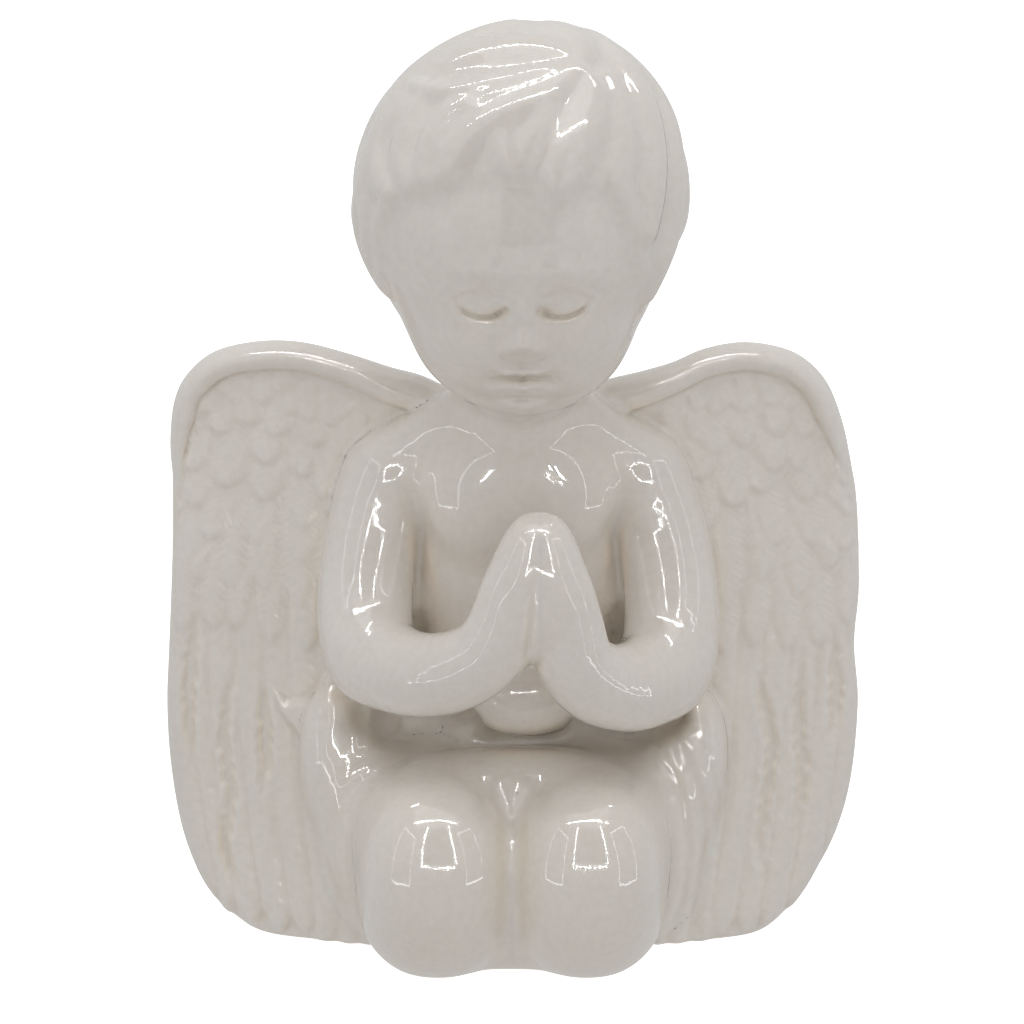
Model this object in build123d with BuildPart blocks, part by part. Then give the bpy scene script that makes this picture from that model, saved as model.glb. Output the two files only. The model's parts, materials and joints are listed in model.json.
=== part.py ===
from build123d import *
import math
import os

os.makedirs("parts", exist_ok=True)

# Kneeling cherub figurine, slip-cast and glazed.  Millimetres, +Z up, the
# figure faces -Y, Z = 0 is the surface it stands on.  "right" and "left" are
# the figure's own right (-X) and left (+X).

# ---------------------------------------------------------------- dimensions
total_height = 125.0          # ground to crown
wing_span = 96.0              # tip to tip
slip = 0.6                    # thickness of the luting slip between castings
wall = 3.6                    # wall of the hollow castings

# head: elliptical stations up the head's own axis
head_centre = (0.4, -1.0, 99.4)
head_bow = 20.0               # degrees that the crown leans forward
head_stations = [             # height, centre y, half width, half depth
    (-22.4, -8.5, 2.8, 2.8),
    (-21.0, -8.0, 6.9, 7.0),
    (-18.0, -6.5, 10.6, 11.4),
    (-13.0, -1.5, 15.0, 18.0),
    (-8.0, 0.3, 18.7, 20.3),
    (-2.0, 1.0, 21.1, 22.0),
    (6.0, 1.2, 21.6, 22.4),
    (14.0, 1.2, 19.2, 19.8),
    (20.0, 1.2, 14.2, 14.6),
    (23.5, 1.2, 8.4, 8.7),
    (25.2, 1.2, 2.9, 3.0),
]

# torso and seat: elliptical stations up Z
torso_x = 0.6
torso_stations = [            # z, centre y, half width, half depth
    (3.6, 5.2, 15.0, 13.0),
    (14.0, 5.4, 17.6, 15.0),
    (24.0, 4.8, 16.2, 13.8),
    (31.0, 4.0, 14.2, 12.6),
    (39.0, 3.4, 12.8, 12.0),
    (50.0, 4.4, 13.4, 11.6),
    (60.0, 5.4, 15.4, 10.8),
    (66.0, 5.6, 16.0, 9.2),
    (71.0, 4.6, 11.2, 8.0),
    (76.0, 3.2, 7.6, 7.4),
]
neck_radius = 7.2
neck_y = 3.2
neck_cut = 76.0               # top of the torso casting

# arms: centre line and radius from shoulder to fingertips
right_arm_line = [
    (-17.4, 5.2, 62.6, 6.3), (-19.2, 3.3, 55.5, 6.1), (-20.1, 0.0, 47.2, 6.2),
    (-18.8, -5.2, 41.0, 6.1), (-13.4, -11.2, 40.1, 5.6), (-7.4, -15.8, 41.4, 5.2),
    (-2.4, -18.2, 45.4, 4.9), (-0.5, -18.8, 50.8, 4.4), (0.9, -18.6, 56.0, 3.6),
    (2.0, -18.2, 60.8, 2.7),
]
left_arm_line = [
    (17.9, 5.2, 62.2, 6.3), (20.4, 3.3, 54.8, 6.0), (21.4, -0.2, 45.2, 6.3),
    (20.0, -5.4, 38.8, 6.3), (15.4, -11.0, 37.8, 5.9), (11.0, -15.4, 39.8, 5.4),
    (8.2, -18.1, 44.4, 5.0), (7.0, -18.8, 50.4, 4.5), (5.6, -18.6, 56.0, 3.6),
    (4.4, -18.2, 60.8, 2.7),
]
palm_plane = 3.2              # x of the plane where the palms meet

# folded legs: elliptical stations along Y, knee first
leg_stations = [              # y, centre |x|, centre z, half width, half height
    (-24.95, 10.7, 14.0, 1.0, 1.4),
    (-24.0, 10.7, 14.0, 4.4, 6.2),
    (-22.0, 10.7, 13.9, 7.35, 10.5),
    (-19.0, 10.7, 13.9, 9.45, 13.4),
    (-14.6, 10.7, 13.9, 10.35, 14.8),
    (-4.0, 12.6, 14.0, 11.9, 15.0),
    (6.0, 14.4, 13.4, 12.6, 14.4),
    (15.0, 14.0, 11.6, 11.2, 12.6),
    (21.0, 13.4, 9.6, 8.4, 10.2),
    (24.0, 13.2, 8.8, 4.4, 5.6),
    (25.0, 13.2, 8.4, 1.0, 1.4),
]

# wings: outline seen from the front, (x, z)
right_wing_outline = [
    (0.0, 66.0), (-6.0, 71.5), (-11.3, 76.0), (-16.5, 77.9), (-22.2, 80.1),
    (-28.5, 81.5), (-34.6, 81.4), (-40.8, 79.8), (-44.7, 76.6), (-46.7, 72.7),
    (-47.4, 67.1), (-47.2, 61.5), (-47.3, 50.4), (-47.8, 39.5), (-48.2, 31.2),
    (-47.8, 23.1), (-46.5, 15.0), (-44.6, 9.5), (-41.6, 4.6), (-36.0, -1.5),
]
left_wing_outline = [
    (0.0, 66.0), (6.0, 71.5), (13.3, 75.9), (17.0, 77.4), (21.5, 79.1),
    (26.0, 80.8), (31.5, 81.4), (37.0, 80.3), (40.6, 78.3), (43.3, 75.0),
    (45.4, 69.9), (46.6, 64.5), (47.5, 58.7), (48.0, 47.6), (47.7, 39.5),
    (48.1, 31.2), (46.9, 20.5), (44.3, 12.4), (40.0, 5.2), (35.0, -1.5),
]
wing_sweep = 0.27             # y gained per mm outward
wing_lean = 0.125             # y gained per mm upward
wing_front = -7.2             # y of the wing's front at x = 0, z = 0
wing_thick = 6.6
wing_inner = 17.0             # |x| of the wing's inner end beside the seat

# foot plate that closes the underside
plate_x, plate_y, plate_t = 29.0, 23.0, 3.0
plate_centre_y = 4.5
vent_radius = 1.8

far = 200.0


def unit(v):
    n = math.sqrt(sum(c * c for c in v))
    return tuple(c / n for c in v)


def cross(a, b):
    return (a[1] * b[2] - a[2] * b[1], a[2] * b[0] - a[0] * b[2], a[0] * b[1] - a[1] * b[0])


def arm_sections(line, turn):
    """Planes square to the arm's centre line with their radii, rounded off at both ends."""
    sections = []
    last = len(line) - 1
    for i in range(len(line)):
        a, b = line[max(i - 1, 0)], line[min(i + 1, last)]
        t = unit([b[k] - a[k] for k in range(3)])
        plane = Plane(origin=line[i][:3], x_dir=unit(cross(turn, t)), z_dir=t)
        r = line[i][3]
        if i == 0:
            for deg in (80, 55, 28):
                sections.append((plane.offset(-r * math.sin(math.radians(deg))), r * math.cos(math.radians(deg))))
        sections.append((plane, r))
        if i == last:
            for deg in (28, 55, 80):
                sections.append((plane.offset(r * math.sin(math.radians(deg))), r * math.cos(math.radians(deg))))
    return sections


def wing_plane(side):
    ex = unit((1.0, side * wing_sweep, 0.0))
    ez = unit((0.0, wing_lean, 1.0))
    return Plane(origin=(0, wing_front, 0), x_dir=ex, z_dir=cross(ez, ex))


def wing_points(outline, side):
    plane = wing_plane(side)
    pts = []
    for x, z in outline:
        p = plane.to_local_coords(Vector(x, wing_front + wing_sweep * abs(x) + wing_lean * z, z))
        pts.append((p.X, p.Y))
    return pts


# ================================================================== forms
# Plain outer forms, used below to cut neighbouring castings to each other.

head_axis = Plane(
    origin=head_centre, x_dir=(1, 0, 0),
    z_dir=(0, -math.sin(math.radians(head_bow)), math.cos(math.radians(head_bow))),
)

with BuildPart() as head_form:
    for h, cy, rx, ry in head_stations:
        with BuildSketch(head_axis.offset(h)):
            with Locations((0, cy)):
                Ellipse(rx, ry)
    loft()

with BuildPart() as head_hollow:
    for h, cy, rx, ry in head_stations[3:-2]:
        with BuildSketch(head_axis.offset(h)):
            with Locations((0, cy)):
                Ellipse(rx - wall, ry - wall)
    loft()

with BuildPart() as torso_form:
    for z, cy, rx, ry in torso_stations:
        with BuildSketch(Plane.XY.offset(z)):
            with Locations((torso_x, cy)):
                Ellipse(rx, ry)
    loft()

with BuildPart() as torso_skin:
    # the torso with the luting slip on it: what the limbs and wings are cut to
    for z, cy, rx, ry in torso_stations:
        with BuildSketch(Plane.XY.offset(z)):
            with Locations((torso_x, cy)):
                Ellipse(rx + slip, ry + slip)
    loft()

with BuildPart() as torso_hollow:
    for z, cy, rx, ry in torso_stations:
        with BuildSketch(Plane.XY.offset(z)):
            with Locations((torso_x, cy)):
                Ellipse(rx - wall, ry - wall)
    loft()

with BuildPart() as right_arm_form:
    for plane, r in arm_sections(right_arm_line, (0.75, 0.45, -0.35)):
        with BuildSketch(plane):
            Circle(r)
    loft()

with BuildPart() as left_arm_form:
    for plane, r in arm_sections(left_arm_line, (-0.75, 0.45, -0.35)):
        with BuildSketch(plane):
            Circle(r)
    loft()

with BuildPart() as left_leg_form:
    for y, cx, cz, rx, rz in leg_stations:
        with BuildSketch(Plane.XZ.offset(-y)):
            with Locations((cx, cz)):
                Ellipse(rx, rz)
    loft()

with BuildPart() as right_leg_form:
    add(left_leg_form.part)
    mirror(about=Plane.YZ, mode=Mode.REPLACE)

with BuildPart() as right_wing_form:
    with BuildSketch(wing_plane(-1)):
        with BuildLine():
            edge = Spline(*wing_points(right_wing_outline, -1))
            Line(edge @ 1, (0, (edge @ 1).Y))
            Line((0, (edge @ 1).Y), edge @ 0)
        make_face()
    extrude(amount=wing_thick, dir=(0, 1, 0))

with BuildPart() as left_wing_form:
    with BuildSketch(wing_plane(1)):
        with BuildLine():
            edge = Spline(*wing_points(left_wing_outline, 1))
            Line(edge @ 1, (0, (edge @ 1).Y))
            Line((0, (edge @ 1).Y), edge @ 0)
        make_face()
    extrude(amount=wing_thick, dir=(0, 1, 0))

# ================================================================= castings

with BuildPart() as head:
    add(head_form.part)
    # neck stub, seated on the slip at the top of the torso
    with BuildSketch(Plane.XY.offset(neck_cut + slip)):
        with Locations((torso_x, neck_y)):
            Circle(neck_radius)
    extrude(amount=9.0)
    add(head_hollow.part, mode=Mode.SUBTRACT)
    with BuildSketch(Plane.XY.offset(neck_cut - 1.0)):
        with Locations((torso_x, neck_y)):
            Circle(neck_radius - wall)
    extrude(amount=14.0, mode=Mode.SUBTRACT)
    # the chin and nape stop short of the neck
    with BuildSketch(Plane.XY.offset(neck_cut - 8.0)):
        with Locations((torso_x, neck_y)):
            Circle(neck_radius + 4.5)
    extrude(amount=8.0 + slip, mode=Mode.SUBTRACT)
head.part.label = "head"
export_step(head.part, "parts/head.step")

with BuildPart() as neck_joint:
    with BuildSketch(Plane.XY.offset(neck_cut)):
        with Locations((torso_x, neck_y)):
            Circle(neck_radius)
            Circle(neck_radius - wall, mode=Mode.SUBTRACT)
    extrude(amount=slip)
neck_joint.part.label = "neck_joint"
export_step(neck_joint.part, "parts/neck_joint.step")

with BuildPart() as torso:
    add(torso_form.part)
    add(torso_hollow.part, mode=Mode.SUBTRACT)
torso.part.label = "torso"
export_step(torso.part, "parts/torso.step")

with BuildPart() as base_plate:
    with BuildSketch(Plane.XY):
        with Locations((0, plate_centre_y)):
            RectangleRounded(plate_x, plate_y, 8.0)
            Circle(vent_radius, mode=Mode.SUBTRACT)
    extrude(amount=plate_t)
base_plate.part.label = "base_plate"
export_step(base_plate.part, "parts/base_plate.step")

with BuildPart() as base_joint:
    with BuildSketch(Plane.XY.offset(plate_t)):
        with Locations((0, plate_centre_y)):
            RectangleRounded(plate_x, plate_y, 8.0)
            Circle(vent_radius, mode=Mode.SUBTRACT)
    extrude(amount=slip)
base_joint.part.label = "base_joint"
export_step(base_joint.part, "parts/base_joint.step")

with BuildPart() as recess_form:
    with BuildSketch(Plane.XY.offset(-1.0)):
        with Locations((0, plate_centre_y)):
            RectangleRounded(plate_x, plate_y, 8.0)
    extrude(amount=1.0 + plate_t + slip)

# Every limb and wing is luted to the torso's curved side: the slip fills the
# thin space between the torso and the torso skin.
for side, arm_form, leg_form, wing_form in (
    ("right", right_arm_form, right_leg_form, right_wing_form),
    ("left", left_arm_form, left_leg_form, left_wing_form),
):
    sx = -1 if side == "right" else 1
    palm_align = Align.MIN if sx < 0 else Align.MAX

    with BuildPart() as arm:
        add(arm_form.part)
        with Locations((palm_plane + sx * slip / 2, 0, 0)):
            Box(far, far, far, align=(palm_align, Align.CENTER, Align.CENTER), mode=Mode.SUBTRACT)
        add(torso_skin.part, mode=Mode.SUBTRACT)
    arm.part.label = f"{side}_arm"
    export_step(arm.part, f"parts/{side}_arm.step")

    with BuildPart() as shoulder_joint:
        add(arm_form.part)
        add(torso_skin.part, mode=Mode.INTERSECT)
        add(torso_form.part, mode=Mode.SUBTRACT)
    shoulder_joint.part.label = f"{side}_shoulder_joint"
    export_step(shoulder_joint.part, f"parts/{side}_shoulder_joint.step")

    with BuildPart() as leg:
        add(leg_form.part)
        add(torso_skin.part, mode=Mode.SUBTRACT)
        add(recess_form.part, mode=Mode.SUBTRACT)
        with Locations((0, 0, 0)):
            Box(far, far, far, align=(Align.CENTER, Align.CENTER, Align.MAX), mode=Mode.SUBTRACT)
    leg.part.label = f"{side}_leg"
    export_step(leg.part, f"parts/{side}_leg.step")

    with BuildPart() as hip_joint:
        add(leg_form.part)
        with Locations((0, 0, plate_t + 2 * slip)):
            Box(far, far, far, align=(Align.CENTER, Align.CENTER, Align.MIN), mode=Mode.INTERSECT)
        add(torso_skin.part, mode=Mode.INTERSECT)
        add(torso_form.part, mode=Mode.SUBTRACT)
    hip_joint.part.label = f"{side}_hip_joint"
    export_step(hip_joint.part, f"parts/{side}_hip_joint.step")

    with BuildPart() as wing:
        add(wing_form.part)
        with Locations((0, 0, 0)):
            Box(far, far, far, align=(Align.CENTER, Align.CENTER, Align.MAX), mode=Mode.SUBTRACT)
        # nothing of the wing passes under the seat or in front of the belly
        with Locations((0, 0, 0)):
            Box(2 * wing_inner, far, 2 * leg_stations[5][2], mode=Mode.SUBTRACT)
        add(torso_skin.part, mode=Mode.SUBTRACT)
        add(arm_form.part, mode=Mode.SUBTRACT)
        add(leg_form.part, mode=Mode.SUBTRACT)
    wing.part.label = f"{side}_wing"
    export_step(wing.part, f"parts/{side}_wing.step")

    with BuildPart() as wing_joint:
        add(wing_form.part)
        with Locations((0, 0, 0)):
            Box(2 * wing_inner, far, 2 * leg_stations[5][2], mode=Mode.SUBTRACT)
        add(torso_skin.part, mode=Mode.INTERSECT)
        add(torso_form.part, mode=Mode.SUBTRACT)
        add(arm_form.part, mode=Mode.SUBTRACT)
        add(leg_form.part, mode=Mode.SUBTRACT)
    wing_joint.part.label = f"{side}_wing_joint"
    export_step(wing_joint.part, f"parts/{side}_wing_joint.step")

with BuildPart() as palm_joint:
    add(right_arm_form.part)
    with Locations((palm_plane, 0, 0)):
        Box(slip, far, far, mode=Mode.INTERSECT)
palm_joint.part.label = "palm_joint"
export_step(palm_joint.part, "parts/palm_joint.step")
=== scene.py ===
import bpy
import math
import time
import numpy as np
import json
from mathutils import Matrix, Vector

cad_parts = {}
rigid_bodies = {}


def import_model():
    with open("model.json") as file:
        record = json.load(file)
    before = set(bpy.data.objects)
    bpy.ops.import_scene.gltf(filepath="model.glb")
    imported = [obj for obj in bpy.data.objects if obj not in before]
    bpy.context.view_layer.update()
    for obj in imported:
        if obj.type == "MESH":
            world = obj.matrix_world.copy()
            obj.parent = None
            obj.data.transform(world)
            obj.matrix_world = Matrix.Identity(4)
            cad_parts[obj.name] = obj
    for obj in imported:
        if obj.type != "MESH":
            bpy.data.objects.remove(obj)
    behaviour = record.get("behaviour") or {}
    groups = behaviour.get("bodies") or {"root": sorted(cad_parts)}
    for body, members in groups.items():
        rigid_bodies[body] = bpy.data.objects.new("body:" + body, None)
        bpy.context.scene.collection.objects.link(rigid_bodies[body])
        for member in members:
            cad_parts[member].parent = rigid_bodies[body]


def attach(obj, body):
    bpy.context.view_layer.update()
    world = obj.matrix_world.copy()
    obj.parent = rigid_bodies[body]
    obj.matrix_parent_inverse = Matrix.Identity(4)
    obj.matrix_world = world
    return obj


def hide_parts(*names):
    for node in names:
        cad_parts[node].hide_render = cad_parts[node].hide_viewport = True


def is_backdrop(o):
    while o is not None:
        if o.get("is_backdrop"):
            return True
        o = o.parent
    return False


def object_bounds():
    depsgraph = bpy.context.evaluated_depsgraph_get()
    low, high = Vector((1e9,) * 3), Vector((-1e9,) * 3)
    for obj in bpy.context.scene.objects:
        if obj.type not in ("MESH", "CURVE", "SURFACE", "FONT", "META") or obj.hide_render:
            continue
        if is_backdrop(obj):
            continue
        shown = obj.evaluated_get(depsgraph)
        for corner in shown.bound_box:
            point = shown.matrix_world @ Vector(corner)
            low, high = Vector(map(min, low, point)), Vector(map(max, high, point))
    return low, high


T0 = time.time()
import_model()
cad_box = [list(map(float, v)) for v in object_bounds()]

# ============================================================ SCULPT BEGIN
# The figurine is one signed distance field, in millimetres, in the frame of
# the CAD part.  Each casting has its own field; smooth unions are the fillets
# that luting slip and glaze leave between them.
F32 = np.float32
NAMES = ["head", "torso", "right_arm", "left_arm", "right_wing", "left_wing", "right_leg", "left_leg"]


def A(*v):
    return np.array(v, F32)


def smin(a, b, k):
    h = np.maximum(F32(k) - np.abs(a - b), 0) / F32(k)
    return np.minimum(a, b) - h * h * F32(k * 0.25)


def smax(a, b, k):
    return -smin(-a, -b, k)


def ell(p, c, r, R=None):
    q = p - A(*c)
    if R is not None:
        q = q @ R
    r = A(*r)
    a = q / r
    k0 = np.sqrt((a * a).sum(-1))
    b = a / r
    k1 = np.sqrt((b * b).sum(-1))
    return k0 * (k0 - 1) / np.maximum(k1, 1e-6)


def seg(p, a, b, ra, rb):
    a = A(*a)
    b = A(*b)
    ba = b - a
    q = p - a
    h = np.clip((q @ ba) / F32(ba @ ba), 0, 1)
    d = q - h[:, None] * ba
    return np.sqrt((d * d).sum(-1)) - (F32(ra) + F32(rb - ra) * h)


def tube(p, pts, rad, k=0.0):
    d = None
    for i in range(len(pts) - 1):
        s = seg(p, pts[i], pts[i + 1], rad[i], rad[i + 1])
        d = s if d is None else (np.minimum(d, s) if k <= 0 else smin(d, s, k))
    return d


def crom(pts, n):
    """Catmull-Rom curve through the rows of pts, n samples a span."""
    P = np.array(pts, float)
    P = np.vstack([2 * P[0] - P[1], P, 2 * P[-1] - P[-2]])
    out = []
    for i in range(1, len(P) - 2):
        for t in np.linspace(0, 1, n, endpoint=False):
            a, b, c, d = P[i - 1], P[i], P[i + 1], P[i + 2]
            out.append(0.5 * ((2 * b) + (-a + c) * t + (2 * a - 5 * b + 4 * c - d) * t * t + (-a + 3 * b - 3 * c + d) * t ** 3))
    out.append(P[-2])
    return np.array(out)


def sstep(x, a, b):
    t = np.clip((x - a) / (b - a), 0, 1)
    return t * t * (3 - 2 * t)


def rotm(ax, ay, az):
    ax, ay, az = [math.radians(v) for v in (ax, ay, az)]
    X = np.array([[1, 0, 0], [0, math.cos(ax), -math.sin(ax)], [0, math.sin(ax), math.cos(ax)]])
    Y = np.array([[math.cos(ay), 0, math.sin(ay)], [0, 1, 0], [-math.sin(ay), 0, math.cos(ay)]])
    Z = np.array([[math.cos(az), -math.sin(az), 0], [math.sin(az), math.cos(az), 0], [0, 0, 1]])
    return (Z @ Y @ X).astype(F32)


def samp(G, fx, fy):
    fx = np.clip(fx, 0, G.shape[0] - 1.001)
    fy = np.clip(fy, 0, G.shape[1] - 1.001)
    i = fx.astype(np.int32)
    j = fy.astype(np.int32)
    u = (fx - i).astype(F32)
    v = (fy - j).astype(F32)
    return G[i, j] * (1 - u) * (1 - v) + G[i + 1, j] * u * (1 - v) + G[i, j + 1] * (1 - u) * v + G[i + 1, j + 1] * u * v


def blur(G, s):
    """Separable Gaussian blur, s in cells."""
    n = int(3 * s + 1)
    k = np.exp(-0.5 * (np.arange(-n, n + 1) / s) ** 2)
    k /= k.sum()
    for ax in (0, 1):
        P = np.pad(G, [(n, n) if a == ax else (0, 0) for a in (0, 1)], mode="edge")
        R = np.zeros_like(G)
        for m, w in enumerate(k):
            R += w * (P[m:m + G.shape[0], :] if ax == 0 else P[:, m:m + G.shape[1]])
        G = R
    return G


# ------------------------------------------------------------------ head
H0 = A(0.4, -1.0, 99.0)
TAU = math.radians(20.0)
HR = np.array([[1, 0, 0], [0, math.cos(TAU), -math.sin(TAU)], [0, math.sin(TAU), math.cos(TAU)]], F32)

# locks of hair: directions from the head's centre, half widths, height (mm)
LOCKS = [
    ([(0.308, -0.147, 0.940), (0.098, -0.248, 0.964), (-0.105, -0.293, 0.950), (-0.319, -0.263, 0.911), (-0.480, -0.124, 0.868), (-0.626, 0.172, 0.761)], [1.0, 1.4, 1.5, 1.5, 1.3, 1.0], 1.35),
    ([(0.293, -0.187, 0.938), (0.160, -0.342, 0.926), (0.007, -0.427, 0.904), (-0.159, -0.485, 0.860), (-0.278, -0.543, 0.793), (-0.347, -0.624, 0.700), (-0.385, -0.680, 0.624)], [1.4, 2.5, 3.2, 3.3, 2.9, 2.4, 1.6], 1.6),
    ([(-0.241, -0.377, 0.894), (-0.349, -0.392, 0.852), (-0.417, -0.445, 0.793), (-0.466, -0.517, 0.718), (-0.507, -0.590, 0.628), (-0.478, -0.667, 0.572)], [1.6, 2.4, 2.8, 2.6, 2.2, 1.4], 1.45),
    ([(-0.024, -0.511, 0.859), (-0.056, -0.602, 0.796), (-0.046, -0.678, 0.734), (0.001, -0.732, 0.681)], [2.0, 2.2, 1.8, 0.9], 1.05),
    ([(0.146, -0.448, 0.882), (0.090, -0.569, 0.817), (0.049, -0.670, 0.741), (0.028, -0.739, 0.673)], [2.0, 2.2, 1.8, 0.9], 1.1),
    ([(0.335, -0.180, 0.925), (0.379, -0.296, 0.877), (0.362, -0.445, 0.819), (0.302, -0.583, 0.754), (0.247, -0.695, 0.675), (0.212, -0.773, 0.597), (0.191, -0.815, 0.547)], [1.4, 2.4, 3.0, 3.2, 3.0, 2.4, 1.4], 1.45),
    ([(-0.601, 0.132, 0.788), (-0.700, 0.026, 0.713), (-0.777, -0.103, 0.621), (-0.814, -0.231, 0.532), (-0.780, -0.400, 0.481), (-0.711, -0.533, 0.460)], [2.0, 2.6, 2.8, 2.7, 2.3, 1.4], 1.35),
    ([(-0.441, -0.143, 0.886), (-0.557, -0.207, 0.804), (-0.622, -0.316, 0.716), (-0.655, -0.418, 0.630), (-0.616, -0.550, 0.564), (-0.538, -0.648, 0.539)], [1.6, 2.2, 2.4, 2.3, 2.0, 1.2], 1.0),
    ([(0.367, 0.371, 0.853), (0.518, 0.185, 0.835), (0.621, -0.013, 0.784), (0.685, -0.185, 0.704), (0.734, -0.339, 0.588), (0.753, -0.492, 0.437), (0.731, -0.623, 0.276)], [2.4, 3.0, 3.2, 3.2, 3.0, 2.6, 1.8], 1.5),
    ([(0.462, -0.118, 0.879), (0.522, -0.276, 0.807), (0.553, -0.436, 0.710), (0.553, -0.588, 0.590), (0.585, -0.667, 0.461), (0.625, -0.711, 0.322), (0.654, -0.742, 0.147), (0.681, -0.730, -0.047)], [1.6, 2.2, 2.4, 2.4, 2.2, 2.0, 1.8, 1.2], 1.0),
    ([(0.516, 0.335, 0.789), (0.670, 0.260, 0.695), (0.788, 0.100, 0.600), (0.854, -0.081, 0.514), (0.897, -0.257, 0.359), (0.901, -0.394, 0.183), (0.839, -0.544, 0.021), (0.780, -0.602, -0.170)], [2.6, 3.0, 3.2, 3.2, 3.0, 2.8, 2.4, 1.6], 1.5),
    ([(-0.839, -0.239, 0.489), (-0.930, -0.198, 0.309), (-0.965, -0.170, 0.107), (-0.963, -0.270, -0.022), (-0.897, -0.415, -0.150), (-0.776, -0.573, -0.264)], [2.2, 2.4, 2.4, 2.2, 1.9, 1.2], 1.2),
    ([(-0.682, -0.528, 0.506), (-0.785, -0.512, 0.349), (-0.812, -0.550, 0.197), (-0.752, -0.653, 0.090), (-0.666, -0.746, -0.007)], [1.6, 1.9, 1.9, 1.6, 1.0], 0.85),
    ([(0.282, -0.093, 0.955), (0.118, -0.027, 0.993), (-0.084, 0.035, 0.996), (-0.290, 0.074, 0.954), (-0.462, 0.094, 0.882), (-0.601, 0.132, 0.788)], [1.8, 3.0, 3.6, 3.6, 3.2, 2.4], 1.2),
    ([(0.313, -0.036, 0.949), (0.290, 0.150, 0.945), (0.240, 0.330, 0.913), (0.170, 0.480, 0.860)], [2.0, 3.2, 3.6, 3.0], 1.2),
]
FACE = [(-0.792, -0.508, -0.338), (-0.820, -0.565, -0.090), (-0.813, -0.571, 0.113), (-0.762, -0.567, 0.312), (-0.638, -0.615, 0.463), (-0.481, -0.693, 0.537), (-0.353, -0.720, 0.597), (-0.198, -0.749, 0.633), (-0.004, -0.767, 0.641), (0.093, -0.764, 0.639), (0.192, -0.821, 0.538), (0.344, -0.745, 0.572), (0.490, -0.696, 0.524), (0.587, -0.707, 0.395), (0.652, -0.727, 0.216), (0.703, -0.711, -0.004), (0.737, -0.641, -0.212), (0.755, -0.495, -0.430), (0.66, -0.25, -0.71), (0.40, -0.02, -0.92), (0.0, 0.10, -0.99), (-0.40, -0.02, -0.92), (-0.68, -0.25, -0.69), (-0.776, -0.463, -0.429)]


def back_locks():
    """Wavy locks falling from the crown over the back of the head."""
    rng = np.random.RandomState(7)
    out = []
    crown = np.array([0.12, 0.42, 0.90])
    crown /= np.linalg.norm(crown)
    e1 = np.cross(crown, [0, 1, 0.0])
    e1 /= np.linalg.norm(e1)
    e2 = np.cross(crown, e1)
    for ring in (0, 1):
        n = 13
        for k in range(n):
            ph = math.radians(-12 + (204.0 * (k + 0.5 * ring) / (n - 1))) + math.pi
            pts, w = [], []
            t0, t1 = (8, 62) if ring == 0 else (48, 108)
            j = rng.uniform(-1, 1, 3)
            m = 7
            for s in range(m):
                f = s / (m - 1)
                th = math.radians(t0 + (t1 - t0 + 5 * j[0]) * f)
                wv = math.radians(7 + 3 * j[1]) * math.sin(2.6 * f * math.pi + j[2] * 1.2 + ring * 1.3)
                q = ph + wv + math.radians(9) * f
                v = math.cos(th) * crown + math.sin(th) * (math.cos(q) * e1 + math.sin(q) * e2)
                if v[1] < -0.05:
                    v[1] *= 0.6
                pts.append(tuple(v))
                w.append((1.2 + 2.6 * math.sin(math.pi * min(1.0, 0.15 + 0.8 * f))) * (0.8 if ring == 0 else 1.05))
            out.append((pts, w, 1.15 + 0.25 * j[0]))
    return out


def poly_sd(P, Q):
    """Signed distance, negative inside, from points Q to the closed polygon P."""
    P = np.asarray(P, float)
    d = np.full(len(Q), 1e9)
    inside = np.zeros(len(Q), bool)
    for i in range(len(P)):
        a = P[i]
        b = P[(i + 1) % len(P)]
        ab = b - a
        q = Q - a
        t = np.clip((q @ ab) / (ab @ ab + 1e-12), 0, 1)
        e = q - t[:, None] * ab
        d = np.minimum(d, (e * e).sum(1))
        c = ((a[1] > Q[:, 1]) != (b[1] > Q[:, 1])) & (Q[:, 0] < (b[0] - a[0]) * (Q[:, 1] - a[1]) / ((b[1] - a[1]) + 1e-12) + a[0])
        inside ^= c
    d = np.sqrt(d)
    return np.where(inside, -d, d)


HM_N = 281            # cells across each hemisphere's map of the hair
HM_T = math.radians(104.0)


def to_map(u, sgn):
    """Azimuthal equidistant map about -Y (sgn -1) or +Y (sgn +1)."""
    c = np.clip(sgn * u[..., 1], -1, 1)
    th = np.arccos(c)
    s = np.maximum(np.sqrt(u[..., 0] ** 2 + u[..., 2] ** 2), 1e-6)
    return th * u[..., 0] / s, th * u[..., 2] / s


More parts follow.
